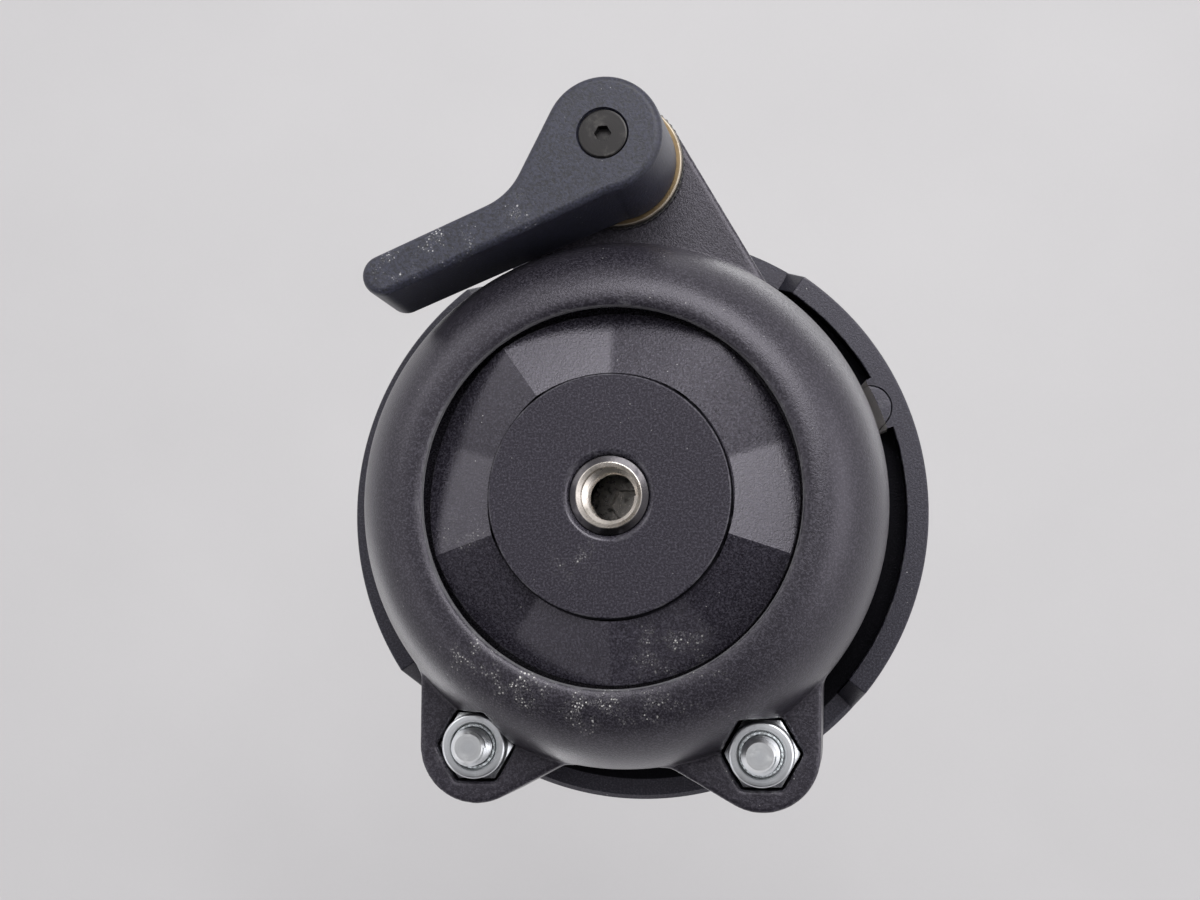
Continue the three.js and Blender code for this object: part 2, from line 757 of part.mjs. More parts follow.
// Coil spring that opens the clamp, one square-cut wire swept along a helix
function clampSpring() {
  const bottom = springSeat + swingGap + springWire / 2;
  const top = plateBottom - seatGap - springWire / 2;
  const coil = springRadius - springWire / 2;
  const points = [];
  for (let step = 0; step <= springTurns * smallSteps; step += 1) {
    const share = step / (springTurns * smallSteps);
    const angle = 2 * Math.PI * springTurns * share;
    const height = bottom + (top - bottom) * share;
    points.push(new THREE.Vector3(coil * Math.cos(angle), coil * Math.sin(angle), height));
  }
  const wire = new THREE.Shape();
  wire.absarc(0, 0, springWire / 2, 0, 2 * Math.PI, false);
  return new THREE.ExtrudeGeometry(wire, {
    steps: springTurns * smallSteps / 2,
    curveSegments: 3,
    extrudePath: new THREE.CatmullRomCurve3(points),
    bevelEnabled: false,
  });
}

const metal = (color, roughness) => new THREE.MeshStandardMaterial({ color, roughness, metalness: 1 });
const plain = (color, roughness) => new THREE.MeshStandardMaterial({ color, roughness, metalness: 0 });
const clear = (color, roughness, opacity) =>
  new THREE.MeshStandardMaterial({ color, roughness, transparent: true, opacity });

const castBlack = plain(0x45444a, 0.55);
const ringBlack = plain(0x3d3d43, 0.5);
const leverGrey = plain(0x3f434a, 0.6);
const zinc = metal(0xb9bdc0, 0.3);
const steel = metal(0xa8a49c, 0.28);
const blackSteel = metal(0x3a3c3e, 0.35);
const brass = metal(0xb08a52, 0.35);
const polymer = plain(0x1c1c1e, 0.5);
const nylon = plain(0xc9cfd2, 0.45);
const rubber = plain(0x26262a, 0.85);
const glass = clear(0xe8f2ee, 0.05, 0.35);
const fluid = clear(0xb8d432, 0.1, 0.7);
const air = clear(0xf2f6da, 0.05, 0.6);

const leveler = new THREE.Group();

function place(name, geometry, material, at = new THREE.Vector2(), turn = 0) {
  const mesh = new THREE.Mesh(closed(geometry), material);
  mesh.name = name;
  mesh.position.set(at.x, at.y, 0);
  mesh.rotation.z = radians(turn);
  leveler.add(mesh);
}

place('ball_base', ballBase(), castBlack);
place('base_bush', baseBush(), steel);
place('lower_friction_band', ballBand(bandThickness, bandAngles), polymer);
place('upper_friction_ring', ballBand(ringThickness, ringAngles), polymer);
place('clamp_ring', clampRing(), ringBlack);
place('top_plate', topPlate(), castBlack);
place('platform_pad', platformPad(), rubber);
place('camera_stud', cameraStud(), steel);
place('stud_bolt', coreBolt(), steel);
for (const [side, at] of [['left', hingeLeft], ['right', hingeRight]]) {
  place(`hinge_bolt_${side}`, hingeBolt(), zinc, at);
  place(`hinge_washer_${side}`, boltWasher(), zinc, at);
  place(`hinge_nut_${side}`, hingeNut(), zinc, at);
  place(`nut_lock_ring_${side}`, nylonRing(), nylon, at);
}
place('level_cup', levelCup(), blackSteel);
place('level_vial', levelVial(), glass, levelAxis);
place('level_fluid', levelFluid(), fluid, levelAxis);
place('level_bubble', levelBubble(), air, levelAxis);
place('clamp_stud', clampStud(), zinc, leverAxis);
place('stud_nut', studNut(), zinc, leverAxis);
place('clamp_spring', clampSpring(), steel, leverAxis);
place('thrust_washer', thrustWasher(), polymer, leverAxis);
place('brass_washer', brassWasher(), brass, leverAxis);
place('lock_lever', lockLever(), leverGrey, leverAxis, leverBearing);
place('lever_insert', leverInsert(), steel, leverAxis);
place('lever_screw', leverScrew(), blackSteel, leverAxis);

// The origin lies on the floor, halfway along the whole length
const frontReach = Math.max(thrustRadius, brassRadius, armBossRadius) - leverAxis.y;
const rearReach = Math.max(rimRadius, hingeRight.y + lugEndRadius);
leveler.position.y = (frontReach - rearReach) / 2;

export default leveler;
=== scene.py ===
"""Camera leveler seen from below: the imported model, dressed for its picture."""

from __future__ import annotations

import json
import logging
import math
from collections.abc import Callable, Iterable, Sequence
from dataclasses import dataclass
from enum import Enum

import bmesh
import bpy
from mathutils import Matrix, Vector

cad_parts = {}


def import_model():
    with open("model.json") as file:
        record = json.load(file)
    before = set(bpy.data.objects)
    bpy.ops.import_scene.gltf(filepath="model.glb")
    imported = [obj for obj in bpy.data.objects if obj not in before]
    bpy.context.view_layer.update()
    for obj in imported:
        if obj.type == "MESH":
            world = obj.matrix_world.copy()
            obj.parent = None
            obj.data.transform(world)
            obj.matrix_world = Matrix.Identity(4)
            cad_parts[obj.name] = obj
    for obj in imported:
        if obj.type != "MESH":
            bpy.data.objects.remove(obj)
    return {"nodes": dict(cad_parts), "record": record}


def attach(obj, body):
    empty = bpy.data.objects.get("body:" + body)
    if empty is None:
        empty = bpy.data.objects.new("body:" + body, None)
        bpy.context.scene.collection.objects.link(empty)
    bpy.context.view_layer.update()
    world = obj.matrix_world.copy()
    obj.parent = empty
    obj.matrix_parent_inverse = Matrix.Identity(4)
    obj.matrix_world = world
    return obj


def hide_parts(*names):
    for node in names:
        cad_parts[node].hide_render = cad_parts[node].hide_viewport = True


log = logging.getLogger("leveler")

Point = tuple[float, float]
Shade = tuple[float, float, float, float]
Body = bmesh.types.BMesh
Link = bpy.types.NodeSocket

MM = 0.001
WELD = 0.002 * MM
OVERRUN = 1.0 * MM
GAP = 0.3 * MM
SKIN = 0.02 * MM
FULL_TURN = math.tau
CAST_CREASE = 70
STRIP = 0.08 * MM
NUT_SLANT_SHARE = 0.7
FLAT_BEND = 1

HOLLOW_STEPS = 12
NOSE_STEPS = 32

AXIS_PLACE = Vector((0, 9.645 * MM, 0))


class Steps(Enum):
    """How many faces go round a full turn."""

    WIDE = 240
    MIDDLE = 96
    SMALL = 48


class Cut(Enum):
    """What a tool does to the piece that it meets."""

    TAKE = "DIFFERENCE"
    ADD = "UNION"
    KEEP = "INTERSECT"


def polar(reach: float, bearing: float) -> Vector:
    """Point at a reach and a bearing in degrees.

    Args:
        reach: Distance from the axis.
        bearing: Angle from +X towards +Y, in degrees.

    Returns:
        The point, with height zero.
    """
    angle = math.radians(bearing)
    return Vector((reach * math.cos(angle), reach * math.sin(angle), 0))


def arc(centre: Point, radius: float, start: float, end: float, steps: int) -> list[Point]:
    """Points of a round stretch of an outline.

    Args:
        centre: Centre of the arc.
        radius: Its radius.
        start: First angle in degrees, counted from the first axis.
        end: Last angle in degrees.
        steps: How many straight steps stand for the arc.

    Returns:
        The points, both ends included.
    """
    angles = [math.radians(start + (end - start) * step / steps) for step in range(steps + 1)]
    return [(centre[0] + radius * math.cos(a), centre[1] + radius * math.sin(a)) for a in angles]


def turned(outline: Sequence[Point], steps: Steps = Steps.WIDE) -> Body:
    """Spins an outline of radius and height about the upright axis.

    Args:
        outline: Corners in order; the last joins the first unless both lie on the axis.
        steps: Faces round the turn.

    Returns:
        The closed body.
    """
    body = bmesh.new()
    corners = [body.verts.new((radius, 0, height)) for radius, height in outline]
    edges = []
    for first, second in zip(corners, corners[1:] + corners[:1]):
        if max(first.co.x, second.co.x) > WELD:
            edges.append(body.edges.new((first, second)))
    bmesh.ops.spin(
        body, geom=corners + edges, cent=(0, 0, 0), axis=(0, 0, 1), dvec=(0, 0, 0),
        angle=FULL_TURN, steps=steps.value, use_merge=True,
    )
    return tidied(body)


def tidied(body: Body) -> Body:
    """Welds doubled corners and turns the faces outwards.

    Args:
        body: The body to tidy.

    Returns:
        The same body.
    """
    bmesh.ops.remove_doubles(body, verts=body.verts[:], dist=WELD)
    bmesh.ops.dissolve_degenerate(body, dist=WELD / 2, edges=body.edges[:])
    bmesh.ops.recalc_face_normals(body, faces=body.faces[:])
    return body


def raised(outline: Sequence[Point], bottom: float, top: float) -> Body:
    """Extrudes a flat outline upright between two heights.

    Args:
        outline: Corners of the flat shape, in order.
        bottom: Lower height.
        top: Upper height.

    Returns:
        The closed body.
    """
    body = bmesh.new()
    face = body.faces.new([body.verts.new((x, y, bottom)) for x, y in outline])
    grown = bmesh.ops.extrude_face_region(body, geom=[face])
    lifted = [item for item in grown["geom"] if isinstance(item, bmesh.types.BMVert)]
    bmesh.ops.translate(body, verts=lifted, vec=(0, 0, top - bottom))
    return tidied(body)


def hexagon(flats: float) -> list[Point]:
    """Corners of a hexagon measured across its flats, one of them on +X."""
    corner = flats / math.sqrt(3)
    return [tuple(polar(corner, 60 * side).xy) for side in range(6)]


def soften(
    body: Body, width: float, angle: float = 35, segments: int = 3,
    chosen: Callable[[bmesh.types.BMEdge], bool] = lambda edge: True,
) -> Body:
    """Rounds the edges that are sharper than an angle.

    Args:
        body: The body to work on.
        width: How far the rounding reaches from the edge.
        angle: Least angle between the two faces, in degrees.
        segments: Faces across the rounding.
        chosen: Says whether an edge is rounded.

    Returns:
        The same body.
    """
    edges = [
        edge for edge in body.edges
        if len(edge.link_faces) == 2
        and edge.calc_face_angle() > math.radians(angle)
        and chosen(edge)
    ]
    bmesh.ops.bevel(
        body, geom=edges, offset=width, offset_type="OFFSET", segments=segments,
        profile=0.5, affect="EDGES", material=-1, clamp_overlap=True,
    )
    return body


def moved(body: Body, place: Vector, turn: float = 0) -> Body:
    """Turns a body about the upright axis, then shifts it.

    Args:
        body: The body to place.
        place: Shift.
        turn: Turn in degrees.

    Returns:
        The same body.
    """
    bmesh.ops.rotate(body, verts=body.verts[:], matrix=Matrix.Rotation(math.radians(turn), 3, "Z"))
    bmesh.ops.translate(body, verts=body.verts[:], vec=place)
    return body


def merged(bodies: Iterable[Body]) -> Body:
    """Puts several bodies into one, as shells that stay apart.

    Args:
        bodies: The bodies, which are used up.

    Returns:
        A new body.
    """
    whole = bmesh.new()
    for body in bodies:
        mesh = bpy.data.meshes.new("shell")
        body.to_mesh(mesh)
        body.free()
        whole.from_mesh(mesh)
        bpy.data.meshes.remove(mesh)
    return whole


def thread(root: float, crest: float, pitch: float, bottom: float, top: float) -> Body:
    """Ridge of a screw thread, wound about the upright axis.

    Args:
        root: Radius where the ridge grows out of its wall.
        crest: Radius of its thin edge, inside or outside the root.
        pitch: Rise in one turn.
        bottom: Height where it starts.
        top: Height where it ends.

    Returns:
        The closed ridge.
    """
    foot_share = 0.42
    crest_share = 0.08
    bury_share = 0.12
    buried = root + (root - crest) * bury_share
    body = bmesh.new()
    section = [
        (buried, -foot_share), (crest, -crest_share), (crest, crest_share), (buried, foot_share),
    ]
    corners = [body.verts.new((radius, 0, bottom + share * pitch)) for radius, share in section]
    face = body.faces.new(corners)
    turns = (top - bottom) / pitch
    steps = round(turns * Steps.SMALL.value)
    bmesh.ops.spin(
        body, geom=[face], cent=(0, 0, 0), axis=(0, 0, 1),
        dvec=(0, 0, (top - bottom) / steps), angle=turns * FULL_TURN, steps=steps, use_merge=False,
    )
    return tidied(body)


def as_object(body: Body, name: str) -> bpy.types.Object:
    """Makes a scene object of a body, which is used up.

    Args:
        body: The body.
        name: The object's name.

    Returns:
        The object, in the scene.
    """
    mesh = bpy.data.meshes.new(name)
    body.to_mesh(mesh)
    body.free()
    made = bpy.data.objects.new(name, mesh)
    bpy.context.scene.collection.objects.link(made)
    return made


def shaded(target: bpy.types.Object, crease: float, edge_full: float) -> None:
    """Shades an object smooth between its creases and marks how sharp its narrow faces are.

    Args:
        target: The object.
        crease: Least angle of a crease, in degrees.
        edge_full: Angle at which the edge mark is full, in degrees.
    """
    body = bmesh.new()
    body.from_mesh(target.data)
    for face in body.faces:
        face.smooth = True
    worn = {corner: 0.0 for corner in body.verts}
    for edge in body.edges:
        if len(edge.link_faces) != 2:
            continue
        bend = edge.calc_face_angle_signed(0)
        edge.smooth = abs(bend) < math.radians(crease)
        for corner in edge.verts:
            worn[corner] = max(worn[corner], min(1.0, bend / math.radians(edge_full)))
    mark = body.loops.layers.float.new("edge")
    for face in body.faces:
        narrow = face.calc_area() < STRIP * face.calc_perimeter()
        for loop in face.loops:
            loop[mark] = worn[loop.vert] if narrow else 0.0
    body.to_mesh(target.data)
    body.free()


class Value:
    """Number socket that takes part in sums written as Python expressions."""

    def __init__(self, tree: Tree, socket: Link) -> None:
        """Wraps a socket of a node in a tree."""
        self.tree = tree
        self.socket = socket

    def _sum(self, operation: str, first: Number, second: Number) -> Value:
        """Adds the Math node of an operation on two numbers."""
        made = self.tree.node("ShaderNodeMath", {"operation": operation}, {0: first, 1: second})
        return Value(self.tree, made.outputs[0])

    def __add__(self, other: Number) -> Value:
        """Sum."""
        return self._sum("ADD", self, other)

    def __radd__(self, other: Number) -> Value:
        """Sum with a plain number first."""
        return self._sum("ADD", other, self)

    def __sub__(self, other: Number) -> Value:
        """Difference."""
        return self._sum("SUBTRACT", self, other)

    def __rsub__(self, other: Number) -> Value:
        """Difference with a plain number first."""
        return self._sum("SUBTRACT", other, self)

    def __mul__(self, other: Number) -> Value:
        """Product."""
        return self._sum("MULTIPLY", self, other)

    def __rmul__(self, other: Number) -> Value:
        """Product with a plain number first."""
        return self._sum("MULTIPLY", other, self)

    def __truediv__(self, other: Number) -> Value:
        """Quotient."""
        return self._sum("DIVIDE", self, other)

    def __gt__(self, other: Number) -> Value:
        """One where this is the larger, else zero."""
        return self._sum("GREATER_THAN", self, other)

    def largest(self, other: Number) -> Value:
        """The larger of the two."""
        return self._sum("MAXIMUM", self, other)

    def window(self, low: float, high: float, soft: float) -> Value:
        """One between two values, nought beyond them, soft at both ends."""
        return self.between(low, low + soft) * self.between(high, high - soft)

    def between(self, low: float, high: float) -> Value:
        """Rises smoothly from nought at one value to one at the other.

        Args:
            low: Value where the result is nought.
            high: Value where the result is one; it may be the smaller.

        Returns:
            The eased share.
        """
        flip = low > high
        inputs = {
            "Value": self, "From Min": min(low, high), "From Max": max(low, high),
            "To Min": 1.0 if flip else 0.0, "To Max": 0.0 if flip else 1.0,
        }
        made = self.tree.node("ShaderNodeMapRange", {"interpolation_type": "SMOOTHSTEP"}, inputs)
        return Value(self.tree, made.outputs["Result"])


Number = Value | float


class Tree:
    """Node tree of one material or of the world."""

    def __init__(self, owner: bpy.types.Material | bpy.types.World) -> None:
        """Clears the owner's nodes and starts with its output."""
        owner.use_nodes = True
        world = isinstance(owner, bpy.types.World)
        self.owner = owner
        self.nodes = owner.node_tree.nodes
        self.links = owner.node_tree.links
        self.nodes.clear()
        self.output = self.nodes.new("ShaderNodeOutputWorld" if world else "ShaderNodeOutputMaterial")
        self.coordinates = self.node("ShaderNodeTexCoord").outputs["Generated" if world else "Object"]

    def node(self, kind: str, settings: dict | None = None, inputs: dict | None = None) -> bpy.types.Node:
        """Adds a node.

        Args:
            kind: The node's type.
            settings: Its settings, set first.
            inputs: Values, links or sums for its sockets, by name or number.

        Returns:
            The node.
        """
        made = self.nodes.new(kind)
        for name, value in (settings or {}).items():
            setattr(made, name, value)
        for name, value in (inputs or {}).items():
            if isinstance(value, Value):
                value = value.socket
            if isinstance(value, bpy.types.NodeSocket):
                self.links.new(value, made.inputs[name])
            else:
                kept = made.inputs[name]
                kept.default_value = value[:3] if kept.type == "VECTOR" else value
        return made

    def value(self, made: bpy.types.Node, name: str) -> Value:
        """Wraps an output of a node."""
        return Value(self, made.outputs[name])

    def noise(self, size: float, detail: float = 2, roughness: float = 0.5) -> Value:
        """Cloudy pattern.

        Args:
            size: Size of its patches, in metres.
            detail: How many finer layers it has.
            roughness: How strong those are.

        Returns:
            Values that lie about one half.
        """
        inputs = {
            "Vector": self.coordinates, "Scale": 1 / size, "Detail": detail, "Roughness": roughness,
        }
        return self.value(self.node("ShaderNodeTexNoise", {}, inputs), "Fac")

    def specks(self, size: float, fill: float, kept_share: float) -> Value:
        """Scattered small dots.

        Args:
            size: Distance between neighbouring dots, in metres.
            fill: Radius of a dot as a share of that distance.
            kept_share: Share of the dots that is there.

        Returns:
            One on a dot, nought elsewhere, soft at its edge.
        """
        full_share = 0.6
        inputs = {"Vector": self.coordinates, "Scale": 1 / size, "Randomness": 1.0}
        cells = self.node("ShaderNodeTexVoronoi", {"feature": "F1"}, inputs)
        dots = self.value(cells, "Distance").between(fill, fill * full_share)
        return dots * (1 - (self.value(cells, "Color") > kept_share))

    def distance(self, centre: Vector) -> Value:
        """Distance from a place."""
        gap = self.node(
            "ShaderNodeVectorMath", {"operation": "DISTANCE"},
            {0: self.coordinates, 1: centre},
        )
        return self.value(gap, "Value")

    def near(self, centre: Vector, reach: float) -> Value:
        """One at a place, fading to nought at a reach from it."""
        return self.distance(centre).between(reach, 0)

    def radius(self, centre: Vector) -> Value:
        """Distance from an upright axis through a place."""
        shift = self.node(
            "ShaderNodeVectorMath", {"operation": "SUBTRACT"}, {0: self.coordinates, 1: centre},
        )
        flat = self.node(
            "ShaderNodeVectorMath", {"operation": "MULTIPLY"}, {0: shift.outputs[0], 1: (1, 1, 0)},
        )
        length = self.node("ShaderNodeVectorMath", {"operation": "LENGTH"}, {0: flat.outputs[0]})
        return self.value(length, "Value")

    def height(self) -> Value:
        """Height above the floor."""
        return self.value(self.node("ShaderNodeSeparateXYZ", {}, {0: self.coordinates}), "Z")

    def rings(self, centre: Vector, pitch: float) -> Value:
        """Uneven turning rings about an upright axis."""
        noise = self.node(
            "ShaderNodeTexNoise", {"noise_dimensions": "1D"},
            {"W": self.radius(centre) / pitch, "Scale": 1.0, "Detail": 3},
        )
        return self.value(noise, "Fac")

    def edge(self) -> Value:
        """How sharp the nearest corner of the piece is."""
        mark = self.node("ShaderNodeAttribute", {"attribute_name": "edge"})
        return self.value(mark, "Fac")

    def blend(self, share: Number, first: Colour, second: Colour) -> Link:
        """Mixes two colours.

        Args:
            share: Share of the second.
            first: Colour at nought.
            second: Colour at one.

        Returns:
            The mixed colour.
        """
        made = self.node(
            "ShaderNodeMix", {"data_type": "RGBA"}, {"Factor": share, 6: first, 7: second},
        )
        return made.outputs[2]

    def scaled(self, colour: Colour, share: Value) -> Link:
        """Colour made lighter or darker by a share."""
        made = self.node(
            "ShaderNodeVectorMath", {"operation": "SCALE"}, {0: colour, "Scale": share},
        )
        return made.outputs[0]

    def bump(self, height: Value, depth: float, under: Link | None = None) -> Link:
        """Relief from a height pattern.

        Args:
            height: The pattern, from nought to one.
            depth: Height of one, in metres.
            under: Relief that this one lies on.

        Returns:
            The normal.
        """
        inputs = {"Height": height, "Distance": depth, "Strength": 1.0}
        if under is not None:
            inputs["Normal"] = under
        return self.node("ShaderNodeBump", {}, inputs).outputs["Normal"]

    def surface(self, inputs: dict) -> bpy.types.Material:
        """Ends the material with its main shader.

        Args:
            inputs: The shader's sockets.

        Returns:
            The material.
        """
        shader = self.node("ShaderNodeBsdfPrincipled", {}, inputs)
        self.links.new(shader.outputs[0], self.output.inputs["Surface"])
        return self.owner


Colour = Link | Shade


def tone(red: int, green: int, blue: int) -> Shade:
    """Linear colour of a screen colour.

    Args:
        red: Red from 0 to 255.
        green: Green from 0 to 255.
        blue: Blue from 0 to 255.

    Returns:
        The colour with full cover.
    """
    shares = [part / 255 for part in (red, green, blue)]
    linear = [s / 12.92 if s <= 0.04045 else ((s + 0.055) / 1.055) ** 2.4 for s in shares]
    return (*linear, 1.0)


# Pale colour of a painted highlight on sloping walls.
PAINTED_HIGHLIGHT_TONE = tone(242, 236, 230)


@dataclass(frozen=True)
class Dust:
    """Pale specks and scuffs about a place, given from the ball's axis."""

    centre: Point
    height: float
    reach: float
    kept_share: float = 0.5
    patch: float = 3.5 * MM
    speck: float = 0.5 * MM
    fill: float = 0.32
    big_speck: float = 0.85 * MM
    big_fill: float = 0.256
    haze: float = 0.3 * MM
    haze_share: float = 0.35

    def mask(self, tree: Tree) -> Value:
        """Where the dust lies."""
        place = Vector((*self.centre, self.height)) + AXIS_PLACE
        patches = tree.noise(self.patch, 3, 0.7).between(0.47, 0.62)
        crumbs = tree.specks(self.speck, self.fill, self.kept_share)
        big = tree.specks(self.big_speck, self.big_fill, self.kept_share)
        haze = tree.noise(self.haze, 2, 0.7).between(0.45, 0.8) * self.haze_share
        return tree.near(place, self.reach) * patches * crumbs.largest(big).largest(haze)


@dataclass(frozen=True)
class Band:
    """Zone about the ball's axis."""

    inner: float
    outer: float
    low: float
    high: float
    soft: float = 0.2 * MM

    def mask(self, tree: Tree) -> Value:
        """One inside the zone."""
        across = tree.radius(AXIS_PLACE).window(self.inner, self.outer, self.soft)
        return across * tree.height().window(self.low, self.high, self.soft)


@dataclass(frozen=True)
class PowderCoat:
    """Black powder coat on a casting, with painted shade in chosen recesses and a painted highlight on
    chosen walls and edges.
    """

    name: str
    slot: str
    colour: Shade = tone(36, 34, 41)
    sheen: Shade = (0.95, 0.91, 1.0, 1.0)
    index: float = 1.5
    shine: float = 0.27
    cloud: float = 22 * MM
    grain: float = 0.36 * MM
    relief: float = 0.02 * MM
    flecks: float = 0.055
    fleck_tone: Shade = tone(150, 148, 156)
    wear: float = 0.35
    wear_size: float = 3 * MM
    worn_tone: Shade = tone(128, 128, 130)
    crumb: float = 1.1 * MM
    crumb_patch: float = 9 * MM
    crumb_share: float = 0.6
    dust: tuple[Dust, ...] = ()
    dust_tone: Shade = tone(205, 204, 200)
    # Painted shade: a band darkened almost to black, as if in shade, and its colour.
    grime_and_painted_shade: Band | None = None
    painted_shade_share: float = 0.9
    grime_and_painted_shade_tone: Shade = tone(6, 6, 8)
    # Painted highlight, partly coat worn bare: a band lightened as if lit, and its colour.
    bare_and_painted_highlight: Band | None = None
    bare_and_highlight_share: float = 0.45
    bare_and_highlight_tone: Shade = tone(128, 128, 130)

    def material(self) -> bpy.types.Material:
        """Builds the material."""
        tree = Tree(bpy.data.materials.new(self.name))
        cloud = tree.noise(self.cloud, 2)
        grit = tree.noise(self.grain, 2, 0.6).between(0.3, 0.7)
        fine = tree.noise(self.grain / 2, 2, 0.6).between(0.3, 0.7)
        shade = tree.scaled(self.colour, 0.3 + 0.2 * cloud + 0.75 * grit + 0.45 * fine)
        shade = tree.blend(grit.between(0.55, 0.9) * self.flecks, shade, self.fleck_tone)
        rubbed = tree.edge() * tree.noise(self.wear_size, 3, 0.7).between(0.42, 0.68) * self.wear
        shade = tree.blend(rubbed, shade, self.worn_tone)
        patches = tree.noise(self.crumb_patch, 2).between(0.5, 0.65)
        crumbs = tree.specks(self.crumb, 0.10, 0.4) * patches * self.crumb_share
        for patch in self.dust:
            crumbs = crumbs.largest(patch.mask(tree))
        shade = tree.blend(crumbs, shade, self.dust_tone)
        # Painted shade: the first band is darkened almost to black and, through Metallic, loses its
        # reflection, where shade falls in a groove or channel.
        painted_shade = 0.0
        if self.grime_and_painted_shade is not None:
            painted_shade = self.grime_and_painted_shade.mask(tree) * self.painted_shade_share
            shade = tree.blend(painted_shade, shade, self.grime_and_painted_shade_tone)
        # Painted highlight: the second band is lightened as if lit; on the ring's lip it also stands for
        # coat worn bare.
        if self.bare_and_painted_highlight is not None:
            bare_and_highlighted = self.bare_and_painted_highlight.mask(tree)
            shade = tree.blend(bare_and_highlighted * self.bare_and_highlight_share, shade, self.bare_and_highlight_tone)
            painted_shade = painted_shade * (1 - bare_and_highlighted)
        relief = tree.bump(fine, self.relief / 3, tree.bump(grit, self.relief))
        rough = self.shine - 0.05 + 0.04 * cloud + 0.06 * grit + 0.3 * crumbs - 0.05 * rubbed
        return tree.surface({
            "Base Color": shade, "Roughness": rough, "Metallic": painted_shade, "Normal": relief,
            "IOR": self.index, "Specular Tint": self.sheen,
        })


@dataclass(frozen=True)
class Moulding:
    """Fine grained moulded plastic."""

    name: str
    slot: str
    colour: Shade = tone(35, 36, 48)
    index: float = 1.5
    shine: float = 0.5
    cloud: float = 14 * MM
    grain: float = 0.4 * MM
    flake: float = 0.68 * MM
    relief: float = 0.02 * MM
    wear: float = 0.3
    wear_size: float = 2 * MM
    worn_tone: Shade = tone(136, 138, 142)
    crumb: float = 1.2 * MM
    crumb_patch: float = 9 * MM
    crumb_share: float = 0.6
    dust: tuple[Dust, ...] = ()
    dust_tone: Shade = tone(200, 200, 200)

    def material(self) -> bpy.types.Material:
        """Builds the material."""
        tree = Tree(bpy.data.materials.new(self.name))
        cloud = tree.noise(self.cloud, 2)
        grit = tree.noise(self.grain, 2, 0.6).between(0.3, 0.7)
        flake = tree.noise(self.flake, 2, 0.5).between(0.3, 0.7)
        shade = tree.scaled(self.colour, 0.1 + 0.2 * cloud + 1.1 * grit + 0.5 * flake)
        rubbed = tree.edge() * tree.noise(self.wear_size, 3, 0.7).between(0.45, 0.7) * self.wear
        shade = tree.blend(rubbed, shade, self.worn_tone)
        patches = tree.noise(self.crumb_patch, 2).between(0.45, 0.6)
        crumbs = tree.specks(self.crumb, 0.09, 0.5) * patches * self.crumb_share
        for patch in self.dust:
            crumbs = crumbs.largest(patch.mask(tree))
        shade = tree.blend(crumbs, shade, self.dust_tone)
        return tree.surface({
            "Base Color": shade, "Roughness": self.shine - 0.03 + 0.08 * grit + 0.2 * crumbs,
            "Normal": tree.bump(grit, self.relief), "IOR": self.index,
        })


@dataclass(frozen=True)
class TurnedMetal:
    """Metal with the rings of its turning about one axis."""

    name: str
    slot: str
    colour: Shade
    centre: tuple[float, float, float] = (0, 0, 0)
    shine: float = 0.28
    pitch: float = 0.15 * MM
    relief: float = 0.006 * MM
    cloud: float = 2.2 * MM
    pits: float = 0.25 * MM
    stain: Shade = tone(92, 88, 80)
    stains: float = 0.35
    bright_edge: float = 0.3
    bright_tone: Shade = tone(226, 226, 222)
    grime_and_painted_shade: Band | None = None
    grime_and_painted_shade_tone: Shade = tone(46, 45, 52)

    def material(self) -> bpy.types.Material:
        """Builds the material."""
        tree = Tree(bpy.data.materials.new(self.name))
        rings = tree.rings(Vector(self.centre) + AXIS_PLACE, self.pitch)
        cloud = tree.noise(self.cloud, 4, 0.65)
        shade = tree.scaled(self.colour, 0.9 + 0.2 * rings)
        worn = cloud.between(0.5, 0.72) * self.stains
        shade = tree.blend(worn, shade, self.stain)
        shade = tree.blend(tree.edge() * self.bright_edge, shade, self.bright_tone)
        pits = tree.noise(self.pits, 3, 0.7)
        if self.grime_and_painted_shade is not None:
            shade = tree.blend(self.grime_and_painted_shade.mask(tree) * (0.85 + 0.15 * cloud), shade, self.grime_and_painted_shade_tone)
        relief = tree.bump(pits, self.relief, tree.bump(rings, self.relief))
        return tree.surface({
            "Base Color": shade, "Metallic": 1.0 - 0.4 * worn,
            "Roughness": self.shine + 0.16 * cloud - 0.08 + 0.3 * worn, "Normal": relief,
        })


@dataclass(frozen=True)
class Rubber:
    """Matt rubber."""

    name: str = "pad rubber"
    slot: str = "rubber"
    colour: Shade = tone(42, 42, 45)
    shine: float = 0.72
    cloud: float = 7 * MM
    grain: float = 0.3 * MM
    relief: float = 0.012 * MM
    wear: float = 0.25
    worn_tone: Shade = tone(96, 96, 98)

    def material(self) -> bpy.types.Material:
        """Builds the material."""
        tree = Tree(bpy.data.materials.new(self.name))
        cloud = tree.noise(self.cloud, 3)
        grit = tree.noise(self.grain, 2)
        shade = tree.scaled(self.colour, 0.85 + 0.3 * cloud)
        shade = tree.blend(tree.edge() * self.wear, shade, self.worn_tone)
        return tree.surface({
            "Base Color": shade, "Roughness": self.shine + 0.15 * cloud,
            "Normal": tree.bump(grit, self.relief),
        })


@dataclass(frozen=True)
class Clear:
    """Clear or tinted stuff of the bubble level."""

    name: str
    slot: str
    colour: Shade
    index: float = 1.49
    shine: float = 0.04
    cloud: float = 3 * MM
    clearness: float = 0.9

    def material(self) -> bpy.types.Material:
        """Builds the material."""
        tree = Tree(bpy.data.materials.new(self.name))
        cloud = tree.noise(self.cloud, 2)
        shade = tree.scaled(self.colour, 0.96 + 0.08 * cloud)
        return tree.surface({
            "Base Color": shade, "Roughness": self.shine + 0.04 * cloud,
            "Transmission Weight": self.clearness, "IOR": self.index,
        })


Finish = PowderCoat | Moulding | TurnedMetal | Rubber | Clear


